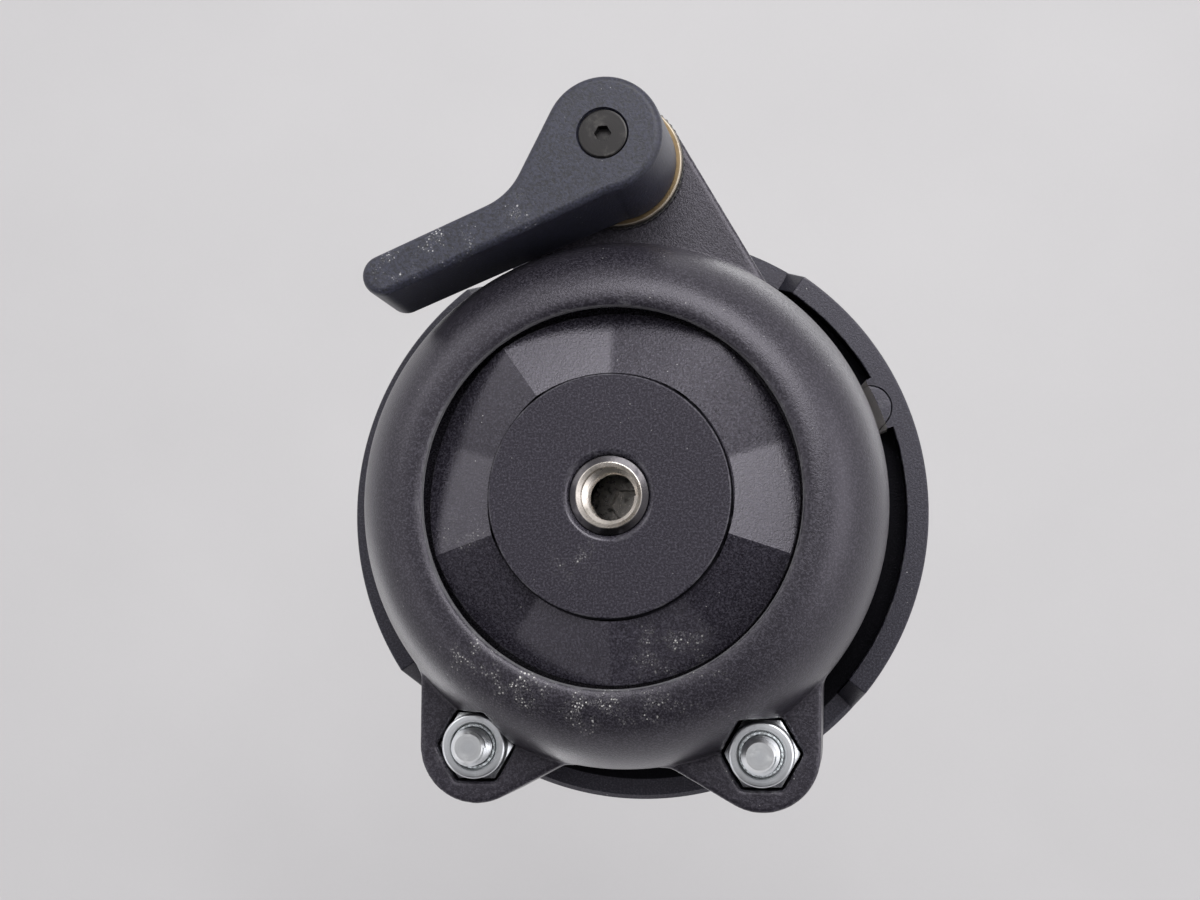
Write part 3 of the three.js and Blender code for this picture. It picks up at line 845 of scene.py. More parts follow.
def put(body: Body, node: str, finish: Finish, crease: float = 30, edge_full: float = 40) -> None:
    """Makes the piece that stands for a node, riding on that node's body.

    Args:
        body: Its shape about the ball's axis, which is used up.
        node: The node's name.
        finish: Its finish.
        crease: Least angle of a crease, in degrees.
        edge_full: Angle at which an edge wears most, in degrees.
    """
    rides = next(
        name for name, nodes in frame["record"]["behaviour"]["bodies"].items() if node in nodes
    )
    bmesh.ops.translate(body, verts=body.verts[:], vec=AXIS_PLACE)
    piece = as_object(tidied(body), f"{node}_fine")
    shaded(piece, crease, edge_full)
    piece.data.materials.append(finish.material())
    if crease < CAST_CREASE:
        evened = piece.modifiers.new("even shading", "WEIGHTED_NORMAL")
        evened.keep_sharp = True
    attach(piece, rides)
    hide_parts(node)
    log.info("%s: %d faces, on %s", piece.name, len(piece.data.polygons), rides)


def dress(node: str, finish: Finish) -> None:
    """Gives a carried-over node its finish.

    Args:
        node: The node's name.
        finish: Its finish.
    """
    slots = frame["nodes"][node].data.materials
    slots.clear()
    slots.append(finish.material())
    log.info("%s: carried over", node)


@dataclass
class Places:
    """Axes that several sub-assemblies share, about the ball's axis."""

    hinge_reach: float = 48.6 * MM
    hinge_bearing: float = 91.1
    hinge_spread: float = 30.2
    arm_reach: float = 60.6 * MM
    arm_bearing: float = -91
    level_reach: float = 46.3 * MM
    level_bearing: float = -23.1
    ball_radius: float = 38.8 * MM
    ball_height: float = 26 * MM

    def hinges(self) -> dict[str, Vector]:
        """Places of the two hinge bolts by their side."""
        return {
            "left": polar(self.hinge_reach, self.hinge_bearing + self.hinge_spread),
            "right": polar(self.hinge_reach, self.hinge_bearing - self.hinge_spread),
        }

    def lever(self) -> Vector:
        """Place of the lever's axis."""
        return polar(self.arm_reach, self.arm_bearing)

    def level(self) -> Vector:
        """Place of the bubble level."""
        return polar(self.level_reach, self.level_bearing)

    def sphere(self, radius: float, low: float, high: float, steps: int = 24) -> list[Point]:
        """Outline of a sphere about the ball's centre, between two heights.

        Args:
            radius: Radius of the sphere.
            low: First height.
            high: Last height.
            steps: Straight steps along it.

        Returns:
            Its points as radius and height.
        """
        angles = [math.degrees(math.asin((z - self.ball_height) / radius)) for z in (low, high)]
        return arc((0, self.ball_height), radius, angles[0], angles[1], steps)


PLACES = Places()


def ear(
    centre: Vector, end: float, ring: float, inner: float, bearings: tuple[float, float], blend: float,
) -> list[Point]:
    """Outline of a lug that grows out of a round wall.

    Args:
        centre: Centre of its round end.
        end: Radius of that end.
        ring: Radius of the wall.
        inner: Radius that the outline reaches in to, inside the wall.
        bearings: Where its flanks leave the wall, in degrees, the smaller first.
        blend: Radius of the hollow where a flank leaves the wall.

    Returns:
        The outline.
    """
    sides = []
    for bearing, side in zip(bearings, (1, -1)):
        root = polar(ring, bearing)
        way = centre - root
        lean = math.asin(end / way.length)
        heading = math.atan2(way.y, way.x) - side * lean
        along = Vector((math.cos(heading), math.sin(heading), 0))
        outward = Vector((along.y, -along.x, 0)) * side
        flow = root.dot(along)
        reach = math.sqrt(flow ** 2 - 2 * blend * (root.dot(outward) - ring)) - flow
        hub = root + along * reach + outward * blend
        on_wall = hub.normalized() * ring
        first = math.atan2(on_wall.y - hub.y, on_wall.x - hub.x)
        sweep = math.remainder(math.atan2(-outward.y, -outward.x) - first, FULL_TURN)
        path = arc((hub.x, hub.y), blend, math.degrees(first), math.degrees(first + sweep), HOLLOW_STEPS)
        path.append(tuple((centre + outward * end).xy))
        bearing_of_hub = math.degrees(math.atan2(hub.y, hub.x))
        sides.append((path, math.degrees(math.atan2(outward.y, outward.x)), bearing_of_hub))
    (first_path, first_angle, first_bearing), (last_path, last_angle, last_bearing) = sides
    sweep = (last_angle - first_angle) % 360
    nose = arc((centre.x, centre.y), end, first_angle, first_angle + sweep, NOSE_STEPS)[1:-1]
    turn = (last_bearing - first_bearing) % 360
    foot = arc((0, 0), inner, first_bearing + turn, first_bearing, HOLLOW_STEPS)
    return first_path + nose + last_path[::-1] + foot


def combined(body: Body, tool: Body, cut: Cut) -> Body:
    """Works one body with another.

    Args:
        body: The body, which is used up.
        tool: The other body, which is used up.
        cut: What the tool does.

    Returns:
        The result.
    """
    target = as_object(body, "target")
    cutter = as_object(tool, "cutter")
    step = target.modifiers.new("work", "BOOLEAN")
    step.operation = cut.value
    step.solver = "EXACT"
    step.object = cutter
    return collected(target, cutter)


def collected(target: bpy.types.Object, *helpers: bpy.types.Object) -> Body:
    """Takes the finished shape of an object and clears it away.

    Args:
        target: The object.
        helpers: Other objects to clear away.

    Returns:
        The shape as a body.
    """
    graph = bpy.context.evaluated_depsgraph_get()
    mesh = bpy.data.meshes.new_from_object(target.evaluated_get(graph))
    body = bmesh.new()
    body.from_mesh(mesh)
    bpy.data.meshes.remove(mesh)
    for spent in (target, *helpers):
        worn = spent.data
        bpy.data.objects.remove(spent)
        bpy.data.meshes.remove(worn)
    return body


def casting(body: Body, grain: float, passes: int, kept_share: float = 1.0) -> Body:
    """Gives a body one skin with the soft corners of a casting.

    Args:
        body: The body, whose shells may run into each other, which is used up.
        grain: Size of the new skin's faces.
        passes: How often the skin is eased.
        kept_share: Share of the faces that is kept, most of them where the skin bends.

    Returns:
        The new body.
    """
    target = as_object(body, "pattern")
    skin = target.modifiers.new("skin", "REMESH")
    skin.mode = "VOXEL"
    skin.voxel_size = grain
    ease = target.modifiers.new("ease", "SMOOTH")
    ease.factor = 0.5
    ease.iterations = passes
    if kept_share < 1:
        thin = target.modifiers.new("thin", "DECIMATE")
        thin.ratio = kept_share
    return collected(target)


@dataclass
class BallBase:
    """The ball with its faceted foot, and the threaded bush in it."""

    wall: float = 5 * MM
    top: float = 53 * MM
    web: float = 4 * MM
    post_hole: float = 15.2 * MM
    floor: float = 10 * MM
    hub: float = 20 * MM
    hub_step: float = 0.5 * MM
    flange: float = 31 * MM
    flange_top: float = 9 * MM
    ridge: float = 3 * MM
    valley: float = 6 * MM
    facets: int = 10
    first_ridge: float = 18
    edge_round: float = 0.3 * MM
    hole_round: float = 1.2 * MM
    moat: float = 0.45 * MM
    moat_depth: float = 0.5 * MM
    bush: float = 6.5 * MM
    bush_sink: float = 0.3 * MM
    bush_mouth: float = 5.35 * MM
    bush_slant: float = 0.45 * MM
    bush_bore: float = 4.05 * MM
    thread_root: float = 4.74 * MM
    thread_pitch: float = 1.5875 * MM
    crease: float = 12
    coat_shine: float = 0.24
    coat_relief: float = 0.009 * MM
    dust: tuple[Dust, ...] = (
        Dust((10 * MM, 25 * MM), 3 * MM, 9 * MM, kept_share=0.3),
        Dust((-5 * MM, 10 * MM), 0, 6 * MM, kept_share=0.15),
        Dust((-24 * MM, 6 * MM), 4 * MM, 6 * MM, kept_share=0.2),
    )

    def facet_height(self, place: Vector) -> float:
        """Height of the facet over a place.

        Args:
            place: The place.

        Returns:
            Height of the facet's plane there.
        """
        half = math.pi / self.facets
        run = (self.flange - self.hub) * math.cos(half)
        across = (self.valley - self.ridge) / (2 * self.flange * math.sin(half))
        slope = (self.ridge - self.hub_step) / run + across * math.tan(half)
        rise = self.hub_step - slope * self.hub * math.cos(half) + across * self.hub * math.sin(half)
        bearing = (math.atan2(place.y, place.x) - math.radians(self.first_ridge)) % FULL_TURN
        facet = int(bearing / (2 * half) + WELD) % self.facets
        off = bearing - half * (2 * facet + 1)
        side = 1 if facet % 2 == 0 else -1
        reach = place.xy.length
        return rise + slope * reach * math.cos(off) + side * across * reach * math.sin(off)

    def shape(self) -> Body:
        """The ball and its foot."""
        hole = self.bush + GAP / 3
        soft = self.edge_round
        tag = self.hub_step
        inner = PLACES.ball_radius - self.wall
        mouth = self.hole_round
        web_bottom = self.top - self.web
        outline = [
            (hole, mouth), *arc((hole + mouth, mouth), mouth, 180, 270, 6)[1:],
            *arc((self.hub - soft, soft), soft, 270, 360, 4),
            (self.hub, tag + self.moat_depth), (self.hub + self.moat / 2, tag + self.moat_depth),
            (self.hub + self.moat, tag), (self.flange - soft, tag),
            *arc((self.flange - soft, tag + soft), soft, 270, 360, 4)[1:],
            (self.flange, self.flange_top),
            *PLACES.sphere(PLACES.ball_radius, self.flange_top, self.top, 48),
            (self.post_hole, self.top), (self.post_hole, web_bottom),
            *PLACES.sphere(inner, web_bottom, self.floor),
            (hole, self.floor),
        ]
        body = turned(outline)
        for corner in body.verts:
            reach = corner.co.xy.length
            if reach < self.hub - WELD or reach > self.flange + WELD or corner.co.z > tag + soft + WELD:
                continue
            if corner.co.z > tag - WELD:
                corner.co.z += self.facet_height(corner.co) - tag
        return tidied(body)

    def bush_shape(self) -> Body:
        """The threaded bush."""
        crest_seat = self.bush_sink + self.bush_mouth - self.bush_bore
        root_seat = self.bush_sink + self.bush_mouth - self.thread_root
        sleeve = turned([
            (self.thread_root, root_seat), (self.bush_mouth, self.bush_sink),
            (self.bush, self.bush_sink + self.bush_slant), (self.bush, self.floor),
            (self.thread_root, self.floor),
        ], Steps.MIDDLE)
        wound = thread(
            self.thread_root, self.bush_bore, self.thread_pitch,
            crest_seat + self.thread_pitch / 3, self.floor - self.thread_pitch / 2,
        )
        return merged([sleeve, wound])

    def build(self) -> None:
        """Places both pieces."""
        # Painted shade: the hub's groove is painted dark all round.
        groove = Band(
            self.hub - SKIN, self.hub + self.moat + SKIN, -OVERRUN, self.hub_step + OVERRUN, SKIN,
        )
        coat = PowderCoat(
            "ball coat", "cast_black", shine=self.coat_shine, relief=self.coat_relief,
            dust=self.dust, grime_and_painted_shade=groove,
        )
        put(self.shape(), "ball_base", coat, crease=self.crease)
        seam = Band(self.bush_mouth, self.bush + OVERRUN, -OVERRUN, self.floor)
        steel = TurnedMetal("bush steel", "steel", tone(196, 190, 182), stains=0.6, grime_and_painted_shade=seam)
        put(self.bush_shape(), "base_bush", steel)
        plastic = Moulding("slide plastic", "polymer", tone(30, 30, 32), shine=0.45)
        dress("lower_friction_band", plastic)
        dress("upper_friction_ring", plastic)


@dataclass
class ClampRing:
    """The ring that grips the ball, with its two hinge lugs and its arm."""

    lip: float = 31.4 * MM
    lip_bottom: float = 0.8 * MM
    curl: float = 1.6 * MM
    lip_edge_round: float = 0.16 * MM
    lip_edge_height: float = 3 * MM
    waist: float = 45.5 * MM
    waist_height: float = 20 * MM
    top: float = 34.8 * MM
    lug_top: float = 35.7 * MM
    bore: float = 39.3 * MM
    groove: float = 41.0 * MM
    groove_latitude: float = -33
    edge: float = 0.8 * MM
    arm_face: float = 21.7 * MM
    arm_end: float = 11.8 * MM
    arm_roots: tuple[float, float] = (-114, -55.7)
    lug_face: float = 16 * MM
    lug_end: float = 9.8 * MM
    lug_spread: float = 19
    root_blend: float = 4 * MM
    nut_floor: float = 22.3 * MM
    pocket_flats: float = 12.1 * MM
    bolt_hole: float = 3.675 * MM
    stud_hole: float = 4.4 * MM
    spring_hole: float = 6.9 * MM
    spring_seat: float = 27 * MM
    grain: float = 0.38 * MM
    passes: int = 5
    kept_share: float = 0.38
    edge_full: float = 25
    coat_shine: float = 0.32
    coat_relief: float = 0.016 * MM
    dust: tuple[Dust, ...] = (
        Dust((-3 * MM, 33.4 * MM), 1.5 * MM, 8 * MM),
        Dust((-15 * MM, 30 * MM), 1.5 * MM, 9 * MM),
        Dust((-22 * MM, 27 * MM), 1.5 * MM, 7 * MM),
        Dust((15 * MM, 31.5 * MM), 1.5 * MM, 6 * MM),
        Dust((5 * MM, 34 * MM), 1.5 * MM, 7 * MM, kept_share=0.35),
    )

    def seat_height(self) -> float:
        """Height where the ball's seat meets the lip."""
        return PLACES.ball_height - math.sqrt(self.bore ** 2 - self.lip ** 2)

    def ring(self) -> Body:
        """The round part."""
        nose = self.lip + self.curl
        low = self.lip_bottom + self.curl / 2
        seat = self.seat_height()
        step = PLACES.ball_height + self.bore * math.sin(math.radians(self.groove_latitude))
        centre = (0, PLACES.ball_height)
        quarter = arc((0, 0), 1, -90, 0, 48)
        flank = [
            (nose + x * (self.waist - nose), self.waist_height + y * (self.waist_height - self.lip_bottom))
            for x, y in quarter
        ]
        return turned([
            *PLACES.sphere(self.bore, step, seat),
            *[(nose + x * self.curl, low + y * self.curl / 2) for x, y in arc((0, 0), 1, 180, 260, 6)],
            *flank,
            (self.waist, self.top - self.edge), (self.waist - self.edge, self.top),
            (self.groove, self.top),
            *arc(centre, self.groove, 0, self.groove_latitude, 16),
        ])

    def lip_edge(self) -> Body:
        """The thin edge that the ball's seat leaves on the lip."""
        centre = (self.lip + self.lip_edge_round, self.seat_height() - self.lip_edge_round / 2)
        return turned(arc(centre, self.lip_edge_round, 0, 330, 11))

    def shape(self) -> Body:
        """The whole casting."""
        inner = self.waist - 2 * OVERRUN
        shells = [self.ring()]
        for place in PLACES.hinges().values():
            bearing = math.degrees(math.atan2(place.y, place.x))
            roots = (bearing - self.lug_spread, bearing + self.lug_spread)
            outline = ear(place, self.lug_end, self.waist, inner, roots, self.root_blend)
            shells.append(raised(outline, self.lug_face, self.lug_top))
        outline = ear(PLACES.lever(), self.arm_end, self.waist, inner, self.arm_roots, self.root_blend)
        shells.append(raised(outline, self.arm_face, self.top))
        for place in PLACES.hinges().values():
            for index in range(len(shells) - 1):
                pocket = moved(raised(hexagon(self.pocket_flats), -OVERRUN, self.nut_floor), place)
                shells[index] = combined(shells[index], pocket, Cut.TAKE)
                hole = turned([
                    (0, 0), (self.bolt_hole, 0), (self.bolt_hole, self.lug_top + OVERRUN),
                    (0, self.lug_top + OVERRUN),
                ], Steps.SMALL)
                shells[index] = combined(shells[index], moved(hole, place), Cut.TAKE)
        well = turned([
            (0, 0), (self.stud_hole, 0), (self.stud_hole, self.spring_seat),
            (self.spring_hole, self.spring_seat), (self.spring_hole, self.top + OVERRUN),
            (0, self.top + OVERRUN),
        ], Steps.SMALL)
        shells[-1] = combined(shells[-1], moved(well, PLACES.lever()), Cut.TAKE)
        skin = casting(merged(shells), self.grain, self.passes, self.kept_share)
        return merged([skin, self.lip_edge()])

    def build(self) -> None:
        """Places the ring."""
        # Painted highlight, partly coat worn bare: a pale line along the lip's inner edge.
        lip_wear_and_highlight = Band(
            self.lip - OVERRUN, self.lip + 2 * self.lip_edge_round, 0, self.lip_edge_height,
        )
        coat = PowderCoat(
            "ring coat", "ring_black", tone(36, 34, 40), shine=self.coat_shine,
            relief=self.coat_relief, dust=self.dust, bare_and_painted_highlight=lip_wear_and_highlight,
        )
        put(self.shape(), "clamp_ring", coat, crease=CAST_CREASE, edge_full=self.edge_full)


@dataclass
class TopPlate:
    """The plate above the ring, with its rim, its dome and its platform."""

    rim: float = 52.8 * MM
    rim_wall: float = 48.9 * MM
    skirt: float = 43 * MM
    skirt_bore: float = 39 * MM
    bottom: float = 36 * MM
    channel: float = 42.5 * MM
    face: float = 48.5 * MM
    fillet: float = 2 * MM
    dome: float = 46.6 * MM
    seat: float = 42.6 * MM
    seat_latitudes: tuple[float, float] = (27.6, 43.9)
    neck: float = 29 * MM
    platform: float = 30.7 * MM
    platform_depth: float = 3.6 * MM
    platform_top: float = 66.5 * MM
    ceiling: float = 60 * MM
    post: float = 7.5 * MM
    post_bottom: float = 30.6 * MM
    bolt_bore: float = 4.0 * MM
    barrel_bore: float = 5.9 * MM
    barrel_bottom: float = 53.7 * MM
    flange_bore: float = 10.2 * MM
    flange_depth: float = 2.2 * MM
    ring_end: float = 28.1 * MM
    edge: float = 0.8 * MM
    lug_end: float = 8 * MM
    lug_spread: float = 10
    arm_end: float = 11.1 * MM
    arm_roots: tuple[float, float] = (-116, -69)
    root_blend: float = 3 * MM
    walls: tuple[tuple[float, float], ...] = ((-54, 39), (146, 233))
    ramp: float = 4.1
    bolt_hole: float = 3.475 * MM
    stud_hole: float = 4.2 * MM
    tab_reach: float = 47.9 * MM
    tab_spread: float = 5.7
    tab_slope: float = 2.2 * MM
    crisp: float = 0.35 * MM
    stem_hole: float = 4.1 * MM
    cup_hole: float = 4.7 * MM
    coat_shine: float = 0.42
    coat_relief: float = 0.015 * MM

    def round_part(self) -> Body:
        """The part that is turned about the ball's axis."""
        seat = arc((0, PLACES.ball_height), self.seat, *reversed(self.seat_latitudes), 12)
        neck_top = self.platform_top - self.platform_depth
        neck_height = PLACES.ball_height + math.sqrt(self.dome ** 2 - self.neck ** 2)
        return turned([
            (self.bolt_bore, self.post_bottom), (self.post, self.post_bottom),
            (self.post, self.ceiling), (self.ring_end, self.ceiling), (self.ring_end, seat[0][1]),
            *seat,
            (self.skirt_bore, seat[-1][1]), (self.skirt_bore, self.bottom), (self.skirt, self.bottom),
            (self.skirt, self.channel), (self.rim - self.edge, self.channel),
            (self.rim, self.channel + self.edge),
            *arc((self.rim - self.fillet, self.face - self.fillet), self.fillet, 0, 90, 8),
            *PLACES.sphere(self.dome, self.face, neck_height, 20),
            (self.neck, neck_top), (self.platform, neck_top + self.edge),
            (self.platform, self.platform_top - self.edge), (self.platform - self.edge, self.platform_top),
            (self.flange_bore, self.platform_top),
            (self.flange_bore, self.platform_top - self.flange_depth),
            (self.barrel_bore, self.platform_top - self.flange_depth),
            (self.barrel_bore, self.barrel_bottom), (self.bolt_bore, self.barrel_bottom),
        ])

    def wall(self, start: float, end: float) -> Body:
        """Stretch of rim wall whose ends slope out to the flange.

        Args:
            start: Bearing where it starts.
            end: Bearing where it ends.

        Returns:
            The wall.
        """
        steps = round((end - start) / 360 * Steps.WIDE.value)
        outline = (arc((0, 0), self.rim - SKIN, start, end, steps)
                   + arc((0, 0), self.rim_wall, end, start, steps))
        body = soften(raised(outline, self.bottom, self.channel + self.edge), self.crisp)
        middle = math.radians(start + end) / 2
        spread = math.radians(end - start) / 2
        for corner in body.verts:
            if corner.co.z > self.channel:
                off = math.remainder(math.atan2(corner.co.y, corner.co.x) - middle, FULL_TURN)
                turn = Matrix.Rotation(math.radians(self.ramp) * off / spread, 3, "Z")
                corner.co = turn @ corner.co
        return body

    def shape(self) -> Body:
        """The whole casting."""
        inner = self.skirt - OVERRUN
        root = self.rim - self.edge
        top = self.face - SKIN
        low = self.bottom + SKIN
        walls = [self.wall(start, end) for start, end in self.walls]
        grown = [combined(walls[0], self.tab(), Cut.ADD), walls[1]]
        for place in PLACES.hinges().values():
            bearing = math.degrees(math.atan2(place.y, place.x))
            roots = (bearing - self.lug_spread, bearing + self.lug_spread)
            outline = ear(place, self.lug_end, root, inner, roots, self.root_blend)
            grown.append(soften(raised(outline, low, top), self.crisp))
        outline = ear(PLACES.lever(), self.arm_end, root, inner, self.arm_roots, self.root_blend)
        grown.append(soften(raised(outline, low, top), self.crisp))
        whole = combined(self.round_part(), merged(grown), Cut.ADD)
        well = [
            (0, self.bottom - OVERRUN), (self.stem_hole, self.bottom - OVERRUN),
            (self.stem_hole, self.channel + GAP), (self.cup_hole, self.channel + GAP),
            (self.cup_hole, self.face + OVERRUN), (0, self.face + OVERRUN),
        ]
        tools = [moved(turned(well, Steps.SMALL), PLACES.level())]
        for place in PLACES.hinges().values():
            tools.append(moved(self.hole(self.bolt_hole), place))
        tools.append(moved(self.hole(self.stud_hole), PLACES.lever()))
        return combined(whole, merged(tools), Cut.TAKE)

    def hole(self, radius: float) -> Body:
        """Round tool that goes right through the flange."""
        return turned([
            (0, 0), (radius, 0), (radius, self.face + OVERRUN), (0, self.face + OVERRUN),
        ], Steps.SMALL)

    def tab(self) -> Body:
        """The tab that holds the bubble level's stem, its inner wall sloping."""
        bearings = (PLACES.level_bearing - self.tab_spread, PLACES.level_bearing + self.tab_spread)
        outline = (arc((0, 0), self.rim_wall + OVERRUN, *bearings, 12)
                   + arc((0, 0), self.tab_reach, *reversed(bearings), 12))
        body = raised(outline, self.bottom + SKIN, self.channel + OVERRUN)
        for corner in body.verts:
            if corner.co.z > self.channel and corner.co.xy.length < self.rim_wall:
                corner.co.xy *= 1 - self.tab_slope / corner.co.xy.length
        return body

    def build(self) -> None:
        """Places the plate."""
        # Painted shade: the channel between the skirt and the rim wall is painted near black.
        channel = Band(
            self.skirt - GAP, self.rim_wall + GAP, self.bottom + GAP, self.channel + OVERRUN,
        )
        # Painted highlight: the tab's sloping inner wall is painted pale, as if lit.
        tab_wall = Band(
            self.tab_reach - self.tab_slope, self.tab_reach + 2 * SKIN, self.bottom,
            self.channel - GAP, GAP / 3,
        )
        coat = PowderCoat(
            "plate coat", "cast_black", tone(35, 35, 43), shine=self.coat_shine,
            relief=self.coat_relief, grime_and_painted_shade=channel, bare_and_painted_highlight=tab_wall, bare_and_highlight_share=1.0,
            bare_and_highlight_tone=PAINTED_HIGHLIGHT_TONE,
        )
        put(self.shape(), "top_plate", coat)


@dataclass
class HingePin:
    """Bolt, washer, lock nut and the nut's plastic ring, on one hinge axis."""

    radius: float = 3.175 * MM
    core: float = 2.75 * MM
    pitch: float = 1.27 * MM
    tip: float = 10 * MM
    tip_round: float = 0.45 * MM
    thread_end: float = 26 * MM
    head_bottom: float = 50.3 * MM
    head: float = 4.9 * MM
    head_height: float = 6 * MM
    socket_flats: float = 4.8 * MM
    socket_depth: float = 3 * MM
    soft: float = 0.4 * MM
    washer_bottom: float = 48.8 * MM
    washer_height: float = 1.2 * MM
    washer: float = 5.8 * MM
    nut_flats: float = 11.1 * MM
    nut_bottom: float = 14 * MM
    nut_top: float = 22 * MM
    hex_height: float = 5.4 * MM
    collar: float = 5.5 * MM
    collar_round: float = 0.5 * MM
    mouth: float = 3.95 * MM
    ring: float = 3.75 * MM
    ring_depth: float = 2 * MM
    plating_pitch: float = 0.3 * MM
    plating_relief: float = 0.008 * MM

    def bolt(self) -> Body:
        """The bolt with its threaded end and its socket."""
        top = self.head_bottom + self.head_height
        shank = turned([
            (0, self.tip), (self.core - self.tip_round, self.tip),
            (self.core, self.tip + self.tip_round), (self.core, self.thread_end),
            (self.radius, self.thread_end + self.tip_round), (self.radius, self.head_bottom),
            (self.head, self.head_bottom), (self.head, top - self.soft),
            *arc((self.head - self.soft, top - self.soft), self.soft, 0, 90, 4)[1:], (0, top),
        ], Steps.MIDDLE)
        socket = raised(hexagon(self.socket_flats), top - self.socket_depth, top + OVERRUN)
        wound = thread(
            self.core, self.radius, self.pitch, self.tip + self.pitch / 2,
            self.thread_end - self.pitch / 2,
        )
        return merged([combined(shank, socket, Cut.TAKE), wound])

    def washer_shape(self) -> Body:
        """The flat washer under the bolt's head."""
        low = self.washer_bottom
        high = low + self.washer_height
        bore = self.radius + GAP
        return soften(turned([(bore, low), (self.washer, low), (self.washer, high), (bore, high)],
                             Steps.MIDDLE), self.soft / 2)

    def nut(self) -> Body:
        """The lock nut, its round collar downwards."""
        corner = self.nut_flats / math.sqrt(3)
        low = self.nut_top - self.hex_height
        flat = self.nut_flats / 2
        slant = (corner - flat) * NUT_SLANT_SHARE
        barrel = turned([
            (0, low - self.soft), (flat - self.soft, low - self.soft), (flat, low),
            (corner + self.soft, low + slant), (corner + self.soft, self.nut_top - slant),
            (flat, self.nut_top), (0, self.nut_top),
        ], Steps.MIDDLE)
        prism = raised(hexagon(self.nut_flats), low - OVERRUN, self.nut_top + OVERRUN)
        hexed = combined(barrel, prism, Cut.KEEP)
        round_top = self.collar_round
        collar = turned([
            (self.mouth - GAP, self.nut_bottom + self.soft / 2 + GAP),
            (self.mouth + self.soft / 2, self.nut_bottom),
            *arc((self.collar - round_top, self.nut_bottom + round_top), round_top, 270, 360, 8),
            (self.collar, low + OVERRUN), (self.mouth - GAP, low + OVERRUN),
        ], Steps.MIDDLE)
        depth = self.nut_bottom + self.ring_depth + GAP
        bore = turned([
            (0, 0), (self.mouth, 0), (self.mouth, depth), (self.radius + GAP / 2, depth),
            (self.radius + GAP / 2, self.nut_top + OVERRUN), (0, self.nut_top + OVERRUN),
        ], Steps.MIDDLE)
        return combined(combined(hexed, collar, Cut.ADD), bore, Cut.TAKE)

    def ring_shape(self) -> Body:
        """The plastic ring in the nut's collar."""
        low = self.nut_bottom + GAP
        high = self.nut_bottom + self.ring_depth
        bore = self.radius + GAP / 2
        return soften(turned([(bore, low), (self.ring, low), (self.ring, high), (bore, high)],
                             Steps.MIDDLE), self.soft / 3)

    def build(self) -> None:
        """Places both sets."""
        for side, place in PLACES.hinges().items():
            zinc = TurnedMetal(
                f"zinc {side}", "zinc", tone(216, 219, 221), tuple(place), shine=0.32,
                pitch=self.plating_pitch, relief=self.plating_relief,
                stain=tone(150, 152, 150), stains=0.4,
            )
            put(moved(self.bolt(), place), f"hinge_bolt_{side}", zinc)
            put(moved(self.washer_shape(), place), f"hinge_washer_{side}", zinc)
            put(moved(self.nut(), place), f"hinge_nut_{side}", zinc)
            nylon = Moulding(f"nylon {side}", "nylon", tone(200, 206, 208), shine=0.35)
            put(moved(self.ring_shape(), place), f"nut_lock_ring_{side}", nylon)


